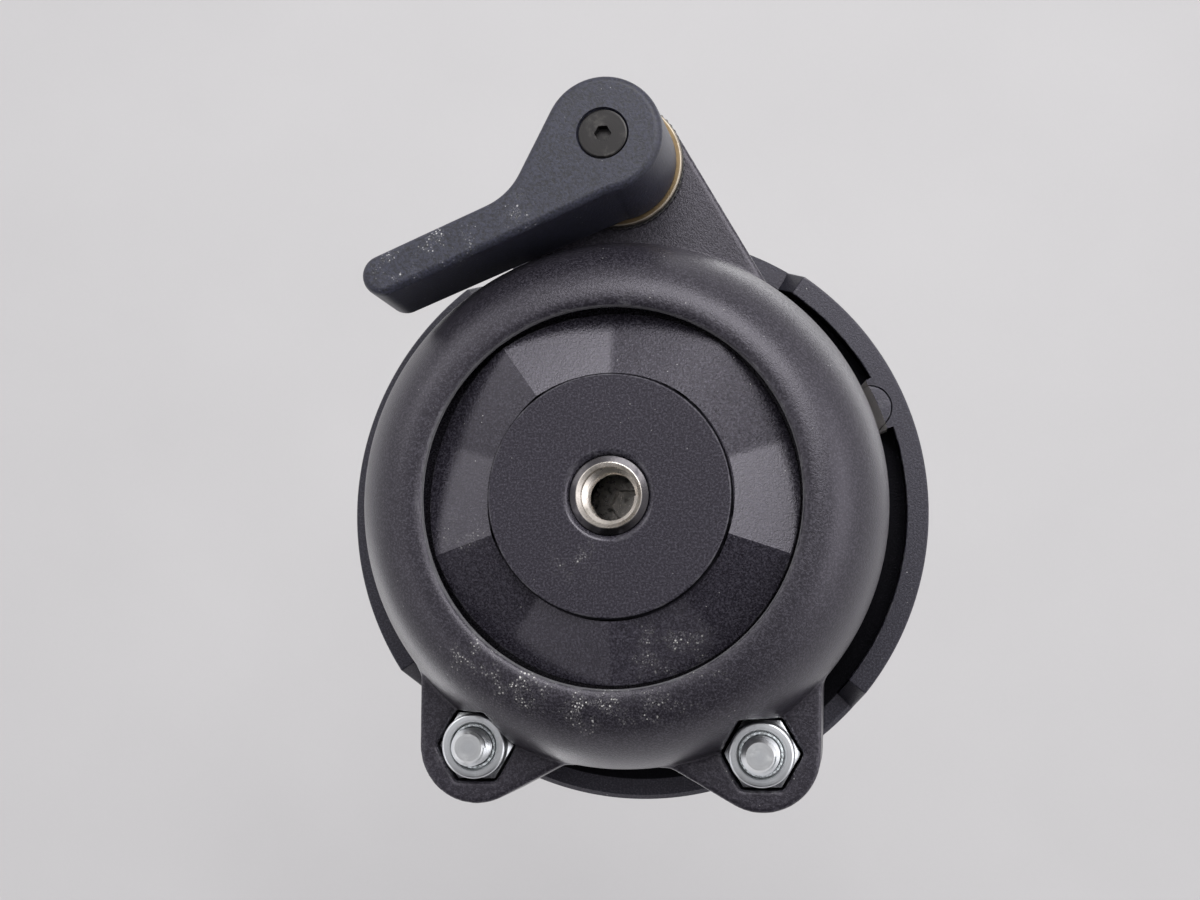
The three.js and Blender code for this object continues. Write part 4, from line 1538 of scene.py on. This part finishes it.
@dataclass
class LockLever:
    """Lever with its screw, insert and washers, and the stud, nut and spring of the clamp."""

    bearing: float = 156.8
    face: float = 0.6 * MM
    foot: float = 19.3 * MM
    hub: float = 10 * MM
    hub_foot: float = 10.5 * MM
    face_round: float = 1.3 * MM
    reach: float = 47.1 * MM
    bar_inner: float = 2.65 * MM
    bar_outer: float = 9.65 * MM
    bar_slope: float = 40
    bar_ease_share: float = 1.2
    crease: float = 40
    screw_crease: float = 10
    tip_height: float = 17.6 * MM
    web: float = 3.4 * MM
    insert: float = 6.5 * MM
    screw_head: float = 4.15 * MM
    screw_depth: float = 2.2 * MM
    screw_sink: float = 0.3 * MM
    screw: float = 2 * MM
    screw_length: float = 9 * MM
    screw_flats: float = 2.5 * MM
    screw_socket: float = 1.6 * MM
    screw_worn: float = 0.14 * MM
    brass: float = 11.5 * MM
    brass_bottom: float = 19.6 * MM
    brass_height: float = 1 * MM
    brass_round: float = 0.42 * MM
    thrust: float = 11.8 * MM
    thrust_bottom: float = 20.9 * MM
    thrust_height: float = 0.5 * MM
    beads: int = 60
    stud: float = 3.9 * MM
    stud_core: float = 3.35 * MM
    stud_pitch: float = 1.25 * MM
    stud_bottom: float = 13.9 * MM
    stud_top: float = 57 * MM
    nut_flats: float = 13 * MM
    nut_bottom: float = 48.8 * MM
    nut_height: float = 6.5 * MM
    wire: float = 0.55 * MM
    wire_sides: int = 12
    coil: float = 6.05 * MM
    coil_bottom: float = 28.05 * MM
    coil_top: float = 35.15 * MM
    coil_turns: int = 3
    soft: float = 0.3 * MM
    dust: tuple[tuple[float, ...], ...] = (
        (-27 * MM, 17 * MM, 7 * MM, 0.6),
        (-35 * MM, 22 * MM, 6 * MM, 0.4),
        (-14 * MM, 13 * MM, 5 * MM, 0.3),
    )

    def outline(self) -> list[Point]:
        """Flat outline about the lever's axis, its bar along +X and its ring side towards -Y."""
        tip = (self.bar_outer - self.bar_inner) / 2
        turn = math.radians(self.bar_slope)
        start = Vector((math.sin(turn), -math.cos(turn))) * self.hub
        along = Vector((math.cos(turn), math.sin(turn)))
        knee = start + along * ((self.bar_inner - start.y) / along.y)
        ease = tip * self.bar_ease_share
        first = knee - along * ease
        last = knee + Vector((ease, 0))
        outer = math.degrees(math.asin(self.bar_outer / self.hub))
        points = arc((0, 0), self.hub, outer, self.bar_slope + 270, 48)
        for step in range(HOLLOW_STEPS + 1):
            share = step / HOLLOW_STEPS
            point = first * (1 - share) ** 2 + knee * 2 * share * (1 - share) + last * share ** 2
            points.append((point.x, point.y))
        points += arc((self.reach - tip, self.bar_inner + tip), tip, -90, 90, 20)
        return [(x, -y) for x, y in points]

    def lever(self) -> Body:
        """The lever's moulding."""
        bar = raised(self.outline(), self.face, self.foot)
        everything = bar.verts[:] + bar.edges[:] + bar.faces[:]
        bmesh.ops.bisect_plane(bar, geom=everything, plane_co=(self.hub_foot, 0, 0), plane_no=(1, 0, 0))
        middle = (self.face + self.foot) / 2
        for corner in bar.verts:
            if corner.co.z > middle and corner.co.x > self.hub_foot:
                share = (corner.co.x - self.hub_foot) / (self.reach - self.hub_foot)
                corner.co.z -= (self.foot - self.face - self.tip_height) * share
            elif corner.co.z > middle:
                reach = corner.co.xy.length
                share = max(0.0, 1 - (reach - self.hub) / self.hub)
                corner.co.xy *= 1 + (self.hub_foot / self.hub - 1) * share
        soften(bar, self.face_round, 40, 4, lambda edge: all(end.co.z < middle for end in edge.verts))
        soften(bar, self.soft, 40, 2, lambda edge: all(
            end.co.z > middle and end.co.x > self.hub_foot for end in edge.verts))
        seat = self.face + self.screw_sink
        sink = [
            (0, -OVERRUN), (self.screw_head + GAP, -OVERRUN), (self.screw_head + GAP, seat + GAP),
            (self.screw + GAP, seat + self.screw_depth + GAP), (self.screw + GAP, self.face + self.web),
            (self.insert + GAP, self.face + self.web), (self.insert + GAP, self.foot + OVERRUN),
            (0, self.foot + OVERRUN),
        ]
        return combined(bar, turned(sink, Steps.MIDDLE), Cut.TAKE)

    def screw_shape(self) -> Body:
        """The countersunk screw."""
        low = self.face + self.screw_sink
        body = turned([
            (0, low), (self.screw_head - self.soft, low),
            (self.screw_head - self.soft / 4, low + self.soft / 4), (self.screw_head, low + self.soft),
            (self.screw, low + self.screw_depth),
            (self.screw, low + self.screw_length), (0, low + self.screw_length),
        ], Steps.MIDDLE)
        socket = raised(hexagon(self.screw_flats), -OVERRUN, low + self.screw_socket)
        cut = combined(body, socket, Cut.TAKE)
        rounded = tidied(soften(cut, self.screw_worn, 50, 2, lambda edge: all(
            abs(end.co.z - low) < WELD and end.co.xy.length < self.screw_flats for end in edge.verts)))
        bmesh.ops.dissolve_limit(
            rounded, angle_limit=math.radians(FLAT_BEND), verts=rounded.verts, edges=rounded.edges,
        )
        return rounded

    def washer(self, outer: float, bottom: float, height: float, soft: float) -> Body:
        """Flat washer on the stud.

        Args:
            outer: Its radius.
            bottom: Height of its lower face.
            height: Its thickness.
            soft: Rounding of its edges.

        Returns:
            The washer.
        """
        bore = self.stud + GAP
        return soften(turned([
            (bore, bottom), (outer, bottom), (outer, bottom + height), (bore, bottom + height),
        ]), soft)

    def thrust_shape(self) -> Body:
        """The thin washer with its beaded edge."""
        body = self.washer(self.thrust, self.thrust_bottom, self.thrust_height, self.soft / 3)
        for corner in body.verts:
            reach = corner.co.xy.length
            if reach > self.thrust - self.soft:
                wave = math.cos(self.beads * math.atan2(corner.co.y, corner.co.x))
                corner.co.xy *= 1 - self.soft / 3 * (1 - wave) / reach
        return body

    def stud_shape(self) -> Body:
        """The threaded stud."""
        core = turned([
            (0, self.stud_bottom), (self.stud_core - self.soft, self.stud_bottom),
            (self.stud_core, self.stud_bottom + self.soft), (self.stud_core, self.stud_top - self.soft),
            (self.stud_core - self.soft, self.stud_top), (0, self.stud_top),
        ], Steps.MIDDLE)
        wound = thread(self.stud_core, self.stud, self.stud_pitch, self.stud_bottom + self.stud_pitch,
                       self.stud_top - self.stud_pitch)
        return merged([core, wound])

    def nut(self) -> Body:
        """The nut on top of the plate."""
        corner = self.nut_flats / math.sqrt(3)
        flat = self.nut_flats / 2
        slant = (corner - flat) * NUT_SLANT_SHARE
        low = self.nut_bottom
        high = low + self.nut_height
        bore = self.stud + GAP / 2
        barrel = turned([
            (bore, low), (flat, low), (corner + self.soft, low + slant), (corner + self.soft, high - slant),
            (flat, high), (bore + self.soft, high), (bore, high - self.soft),
        ], Steps.MIDDLE)
        prism = raised(hexagon(self.nut_flats), low - OVERRUN, high + OVERRUN)
        return combined(barrel, prism, Cut.KEEP)

    def spring(self) -> Body:
        """The coil spring."""
        body = bmesh.new()
        start = Matrix.Translation((self.coil, 0, self.coil_bottom))
        upright = Matrix.Rotation(FULL_TURN / 4, 4, "X")
        bmesh.ops.create_circle(
            body, cap_ends=True, segments=self.wire_sides, radius=self.wire, matrix=start @ upright,
        )
        steps = self.coil_turns * Steps.SMALL.value
        bmesh.ops.spin(
            body, geom=body.faces[:], cent=(0, 0, 0), axis=(0, 0, 1),
            dvec=(0, 0, (self.coil_top - self.coil_bottom) / steps),
            angle=self.coil_turns * FULL_TURN, steps=steps, use_merge=False,
        )
        return tidied(body)

    def build(self) -> None:
        """Places the pieces."""
        place = PLACES.lever()
        dust = tuple(
            Dust((place.x + across, place.y + along), self.face, reach, kept_share=share)
            for across, along, reach, share in self.dust
        )
        plastic = Moulding("lever plastic", "lever_grey", dust=dust)
        put(moved(self.lever(), place, self.bearing), "lock_lever", plastic, crease=self.crease)
        oxide = TurnedMetal(
            "screw oxide", "black_steel", tone(54, 53, 53), tuple(place), shine=0.34,
            stain=tone(96, 94, 90), stains=0.3, bright_edge=0,
        )
        put(moved(self.screw_shape(), place), "lever_screw", oxide, crease=self.screw_crease)
        brass = TurnedMetal(
            "washer brass", "brass", tone(112, 96, 72), tuple(place), shine=0.4,
            stain=tone(92, 74, 52), stains=0.5,
        )
        disc = self.washer(self.brass, self.brass_bottom, self.brass_height, self.brass_round)
        put(moved(disc, place), "brass_washer", brass)
        slide = Moulding("washer plastic", "polymer", tone(34, 33, 32), shine=0.4)
        put(moved(self.thrust_shape(), place), "thrust_washer", slide)
        zinc = TurnedMetal("stud zinc", "zinc", tone(196, 200, 204), tuple(place), shine=0.28)
        put(moved(self.stud_shape(), place), "clamp_stud", zinc)
        put(moved(self.nut(), place), "stud_nut", zinc)
        steel = TurnedMetal("spring steel", "steel", tone(176, 172, 164), tuple(place), shine=0.3)
        put(moved(self.spring(), place), "clamp_spring", steel)
        dress("lever_insert", steel)


@dataclass
class BubbleLevel:
    """Bubble level in the plate's rim."""

    stem: float = 3.95 * MM
    cup: float = 4.4 * MM
    bottom: float = 36 * MM
    step: float = 43.1 * MM
    top: float = 49.2 * MM
    flat_reach: float = 47.9 * MM
    flat_top: float = 42.5 * MM
    flat_inner: float = 39.2 * MM
    flat_slope: float = 2.0 * MM
    flat_spread: float = 25
    vial: float = 3.3 * MM
    vial_wall: float = 0.5 * MM
    vial_top: float = 48.5 * MM
    vial_height: float = 3.6 * MM
    bubble: float = 1.1 * MM
    bubble_height: float = 0.5 * MM
    bubble_end_share: float = 0.9
    soft: float = 0.35 * MM

    def cup_shape(self) -> Body:
        """The cup on its half round stem."""
        bore_bottom = self.vial_top - self.vial_height - GAP
        body = turned([
            (0, self.bottom), (self.stem - self.soft, self.bottom),
            *arc((self.stem - self.soft, self.bottom + self.soft), self.soft, 270, 360, 4)[1:],
            (self.stem, self.step), (self.cup, self.step), (self.cup, self.top - self.soft),
            *arc((self.cup - self.soft, self.top - self.soft), self.soft, 0, 90, 4)[1:],
            (self.vial + GAP, self.top), (self.vial + GAP, bore_bottom), (0, bore_bottom),
        ], Steps.MIDDLE)
        body = moved(body, PLACES.level())
        bearings = (PLACES.level_bearing - self.flat_spread, PLACES.level_bearing + self.flat_spread)
        outline = (arc((0, 0), self.flat_reach, *bearings, 48)
                   + arc((0, 0), self.flat_inner, *reversed(bearings), 12))
        tool = raised(outline, self.bottom, self.flat_top)
        for corner in tool.verts:
            if corner.co.z > self.step - OVERRUN and corner.co.xy.length > self.flat_inner + OVERRUN:
                corner.co.xy *= 1 - self.flat_slope / corner.co.xy.length
        return combined(body, tool, Cut.TAKE)

    def vial_shape(self) -> Body:
        """The clear vial."""
        inner = self.vial - self.vial_wall
        low = self.vial_top - self.vial_height
        return turned([
            (inner, low), (self.vial, low), (self.vial, self.vial_top - self.soft),
            *arc((self.vial - self.soft, self.vial_top - self.soft), self.soft, 0, 90, 4)[1:],
            (0, self.vial_top), (0, self.vial_top - self.vial_wall),
            (inner, self.vial_top - self.vial_wall),
        ], Steps.MIDDLE)

    def fluid_shape(self) -> Body:
        """The liquid with its hollow for the bubble."""
        reach = self.vial - self.vial_wall - GAP / 3
        low = self.vial_top - self.vial_height
        top = self.vial_top - self.vial_wall - self.bubble_height / 2
        return turned([
            (0, low), (reach, low), (reach, top), (self.bubble + GAP, top),
            (self.bubble, top - self.bubble_height), (0, top - self.bubble_height),
        ], Steps.MIDDLE)

    def bubble_shape(self) -> Body:
        """The bubble."""
        middle = self.vial_top - self.vial_wall - self.bubble_height / 2 - GAP / 3
        half = self.bubble_height / 2
        reach = self.bubble * self.bubble_end_share
        side = [(x * reach, middle + y * half) for x, y in arc((0, 0), 1, -90, 90, 16)]
        return turned(side, Steps.SMALL)

    def build(self) -> None:
        """Places the pieces."""
        place = PLACES.level()
        # Painted highlight: the stem's sloping flat is painted pale, as if lit.
        flat = Band(
            self.flat_inner, self.flat_reach + 2 * SKIN, self.bottom, self.flat_top - GAP, GAP / 3,
        )
        coat = PowderCoat(
            "cup coat", "black_steel", tone(40, 40, 48), shine=0.4, bare_and_painted_highlight=flat,
            bare_and_highlight_share=1.0, bare_and_highlight_tone=PAINTED_HIGHLIGHT_TONE,
        )
        put(self.cup_shape(), "level_cup", coat)
        glass = Clear("vial glass", "glass", tone(232, 242, 238))
        put(moved(self.vial_shape(), place), "level_vial", glass)
        fluid = Clear("level fluid", "fluid", tone(196, 216, 70), index=1.36)
        put(moved(self.fluid_shape(), place), "level_fluid", fluid)
        air = Clear("bubble", "air", tone(244, 248, 228), index=1.05)
        put(moved(self.bubble_shape(), place), "level_bubble", air)


@dataclass
class CameraSide:
    """Pad, stud and the bolt that holds the stud."""

    pad: float = 29.5 * MM
    pad_bottom: float = 66.8 * MM
    pad_height: float = 2 * MM
    pad_bore: float = 5.56 * MM
    rib_pitch: float = 2 * MM
    rib_depth: float = 0.5 * MM
    rib_flat_share: float = 0.32
    rib_slant_share: float = 0.1
    stud: float = 4.76 * MM
    stud_core: float = 4.1 * MM
    pitch: float = 1.5875 * MM
    runout_share: float = 0.6
    stud_top: float = 77.2 * MM
    flange: float = 9.9 * MM
    flange_bottom: float = 64.6 * MM
    seat: float = 66.5 * MM
    barrel: float = 5.6 * MM
    barrel_bottom: float = 54 * MM
    bolt: float = 3.7 * MM
    bolt_head: float = 6.4 * MM
    head_bottom: float = 22.6 * MM
    head_top: float = 30.3 * MM
    bolt_top: float = 63.5 * MM
    socket_flats: float = 5.2 * MM
    socket_depth: float = 4 * MM
    soft: float = 0.4 * MM

    def pad_shape(self) -> Body:
        """The ribbed pad."""
        low = self.pad_bottom
        high = low + self.pad_height
        ribs = []
        reach = self.pad - self.soft
        while reach > self.pad_bore + self.rib_pitch:
            flat = self.rib_pitch * self.rib_flat_share
            slant = self.rib_pitch * self.rib_slant_share
            ribs += [
                (reach, high), (reach - flat, high), (reach - flat - slant, high - self.rib_depth),
                (reach - self.rib_pitch + slant, high - self.rib_depth),
            ]
            reach -= self.rib_pitch
        return turned([
            (self.pad_bore, low), (self.pad, low), (self.pad, high - self.soft), *ribs,
            (reach, high), (self.pad_bore, high),
        ])

    def stud_shape(self) -> Body:
        """The threaded stud with its flange and barrel."""
        bore = self.bolt + GAP
        body = turned([
            (bore, self.barrel_bottom), (self.barrel, self.barrel_bottom),
            (self.barrel, self.flange_bottom), (self.flange, self.flange_bottom),
            (self.flange, self.seat), (self.stud_core, self.seat),
            (self.stud_core, self.stud_top - self.soft), (self.stud_core - self.soft, self.stud_top),
            (0, self.stud_top), (0, self.seat + GAP), (bore, self.bolt_top + GAP),
        ], Steps.MIDDLE)
        wound = thread(
            self.stud_core, self.stud, self.pitch, self.seat + self.pitch,
            self.stud_top - self.pitch * self.runout_share,
        )
        return merged([body, wound])

    def bolt_shape(self) -> Body:
        """The socket head bolt up the middle."""
        low = self.head_bottom
        body = turned([
            (0, low), (self.bolt_head - self.soft, low),
            *arc((self.bolt_head - self.soft, low + self.soft), self.soft, 270, 360, 4)[1:],
            (self.bolt_head, self.head_top), (self.bolt, self.head_top), (self.bolt, self.bolt_top),
            (0, self.bolt_top),
        ], Steps.MIDDLE)
        return combined(body, raised(hexagon(self.socket_flats), 0, low + self.socket_depth), Cut.TAKE)

    def build(self) -> None:
        """Places the pieces."""
        put(self.pad_shape(), "platform_pad", Rubber())
        steel = TurnedMetal("stud steel", "steel", tone(190, 186, 178), stains=0.3)
        put(self.stud_shape(), "camera_stud", steel)
        greased = TurnedMetal(
            "bolt steel", "steel", tone(168, 164, 158), stain=tone(12, 12, 12), stains=1.0,
        )
        put(self.bolt_shape(), "stud_bolt", greased)


@dataclass(frozen=True)
class Lamp:
    """Oblong lamp; its place and size are in metres, its power in watts."""

    name: str
    place: tuple[float, float, float]
    size: tuple[float, float]
    power: float
    along: tuple[float, float, float] = (1, 0, 0)

    def build(self, aim: Vector) -> None:
        """Hangs the lamp so that it faces a point.

        Args:
            aim: The point.
        """
        data = bpy.data.lights.new(self.name, "AREA")
        data.shape = "RECTANGLE"
        data.size, data.size_y = self.size
        data.energy = self.power
        made = bpy.data.objects.new(self.name, data)
        bpy.context.scene.collection.objects.link(made)
        back = (Vector(self.place) - aim).normalized()
        upward = back.cross(Vector(self.along)).normalized()
        turn = Matrix((upward.cross(back), upward, back)).transposed()
        made.matrix_world = Matrix.Translation(Vector(self.place)) @ turn.to_4x4()
        made.visible_camera = False


@dataclass
class Studio:
    """Camera, floor, backdrop, lamps and sky.

    The onlooker, the doorway and the windows are directions seen from the object. A window also has
    its reach and its share of the room's light. Sizes without a unit are in metres.
    """

    eye: tuple[float, float, float] = (39.1 * MM, 31.345 * MM, -276.5 * MM)
    ahead: tuple[float, float, float] = (-0.1440, -0.1035, 0.9842)
    right: tuple[float, float, float] = (0.9895, 0.0, 0.1448)
    lens_share: float = 1722 / 1200
    sheet_height: float = 0.30
    sheet_size: tuple[float, float] = (0.50, 0.42)
    sheet_middle: tuple[float, float] = (-0.045, -0.03)
    distance: tuple[float, float, float, float] = tone(212, 210, 212)
    paper: tuple[float, float, float, float] = tone(188, 187, 187)
    paper_glow: float = 0.2
    table: float = 0.9
    room: float = 0.75
    daylight: tuple[float, float, float, float] = (0.98, 0.965, 1.0, 1.0)
    onlooker: tuple[float, float, float] = (-0.137, 0.533, -0.835)
    onlooker_reach: tuple[float, float] = (0.64, 0.34)
    windows: tuple[tuple[float, ...], ...] = (
        (-0.72, 0.30, -0.63, 0.34, 2.2), (0.93, -0.07, -0.36, 0.75, 4.4),
    )
    far_side: tuple[float, float] = (0.42, 0.74)
    doorway: tuple[float, float, float] = (0.53, -0.14, -0.84)
    doorway_reach: tuple[float, float] = (0.26, 0.12)
    doorway_share: float = 0.85
    shade_share: float = 0.94
    aim_height: float = 20 * MM
    horizon: tuple[float, float] = (-0.5, 0.1)
    floor_size: tuple[float, float] = (1.6, 1.6)
    floor_height: float = -0.5 * MM
    paper_cloud: float = 60 * MM
    paper_grain: float = 0.9 * MM
    sensor: float = 36
    nearest: float = 10 * MM
    lamps: tuple[Lamp, ...] = (
        Lamp("key", (0.131, -0.329, -0.478), (0.46, 0.30), 2.9, (-0.84, -0.54, 0.15)),
        Lamp("fill", (-0.42, -0.28, -0.34), (0.26, 0.26), 0.5),
        Lamp("upper", (0.25, -0.35, 0.65), (0.5, 0.5), 2.2),
        Lamp("upper fill", (-0.4, 0.3, 0.55), (0.5, 0.5), 1.5),
    )

    def camera(self) -> None:
        """Stands the camera where the photo was taken from."""
        data = bpy.data.cameras.new("camera")
        data.sensor_width = self.sensor
        data.lens = data.sensor_width * self.lens_share
        made = bpy.data.objects.new("camera", data)
        bpy.context.scene.collection.objects.link(made)
        ahead = Vector(self.ahead).normalized()
        across = Vector(self.right).normalized()
        above = across.cross(ahead).normalized()
        turn = Matrix((across, above, -ahead)).transposed()
        made.matrix_world = Matrix.Translation(Vector(self.eye)) @ turn.to_4x4()
        data.clip_start = self.nearest
        bpy.context.scene.camera = made

    def panel(self, name: str, size: tuple[float, float], place: Vector, down: bool) -> None:
        """Flat sheet that shows from one side only.

        Args:
            name: Its name.
            size: Its length and width.
            place: Its middle.
            down: Whether it shows from below.
        """
        body = bmesh.new()
        bmesh.ops.create_grid(body, x_segments=1, y_segments=1, size=0.5)
        bmesh.ops.scale(body, verts=body.verts[:], vec=(size[0], size[1], 1))
        bmesh.ops.translate(body, verts=body.verts[:], vec=place)
        if down:
            bmesh.ops.reverse_faces(body, faces=body.faces[:])
        made = as_object(body, name)
        tree = Tree(bpy.data.materials.new(name))
        path = tree.node("ShaderNodeLightPath")
        side = tree.node("ShaderNodeNewGeometry")
        cloud = tree.noise(self.paper_cloud, 3)
        grit = tree.noise(self.paper_grain, 2)
        shade = tree.scaled(self.paper, 0.95 + 0.07 * cloud + 0.02 * grit)
        face = tree.node("ShaderNodeBsdfDiffuse", {}, {"Color": shade})
        glow = tree.node("ShaderNodeEmission", {}, {"Color": shade, "Strength": self.paper_glow})
        lit = tree.node("ShaderNodeAddShader", {}, {0: face.outputs[0], 1: glow.outputs[0]})
        clear = tree.node("ShaderNodeBsdfTransparent")
        seen = tree.value(path, "Is Camera Ray")
        if down:
            seen = seen.largest(tree.value(path, "Is Glossy Ray"))
        front = seen * (1 - tree.value(side, "Backfacing"))
        mixed = tree.node("ShaderNodeMixShader", {}, {0: front, 1: clear.outputs[0], 2: lit.outputs[0]})
        tree.links.new(mixed.outputs[0], tree.output.inputs["Surface"])
        made.data.materials.append(tree.owner)
        made.visible_shadow = False

    def sky(self) -> None:
        """Pale surroundings, with the dark shape of whoever looks down from the nuts' side."""
        world = bpy.data.worlds.new("sky")
        bpy.context.scene.world = world
        tree = Tree(world)
        path = tree.node("ShaderNodeLightPath")
        parts = tree.node("ShaderNodeSeparateXYZ", {}, {0: tree.coordinates})
        above = tree.value(parts, "Z").between(*self.horizon)
        figure = tree.distance(Vector(self.onlooker)).between(*self.onlooker_reach)
        opening = tree.distance(Vector(self.doorway)).between(*self.doorway_reach)
        far = tree.value(parts, "Y").between(*self.far_side)
        room = self.room * (1 - self.shade_share * figure) * (1 - self.doorway_share * opening)
        room = room * (1 - self.shade_share * far)
        for *place, reach, share in self.windows:
            room = room + self.room * share * tree.near(Vector(place), reach)
        level = room + (self.table - room) * above
        light = tree.node("ShaderNodeBackground", {}, {"Color": self.daylight, "Strength": level})
        seen = tree.node("ShaderNodeBackground", {}, {"Color": self.distance})
        camera = tree.value(path, "Is Camera Ray")
        mixed = tree.node("ShaderNodeMixShader", {}, {0: camera, 1: light.outputs[0], 2: seen.outputs[0]})
        tree.links.new(mixed.outputs[0], tree.output.inputs["Surface"])

    def build(self) -> None:
        """Sets up the studio."""
        self.camera()
        self.panel("floor", self.floor_size, Vector((0, 0, self.floor_height)), False)
        self.panel("backdrop", self.sheet_size, Vector((*self.sheet_middle, self.sheet_height)), True)
        for lamp in self.lamps:
            lamp.build(Vector((0, 0, self.aim_height)))
        self.sky()
        bpy.context.scene.view_settings.view_transform = "Standard"


def main() -> None:
    logging.basicConfig(level=logging.INFO, format="%(message)s")
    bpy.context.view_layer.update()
    for part in (BallBase(), ClampRing(), TopPlate(), HingePin(), LockLever(), BubbleLevel(), CameraSide()):
        log.info("building %s", type(part).__name__)
        part.build()
    Studio().build()


if __name__ == "__main__":
    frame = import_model()
    main()
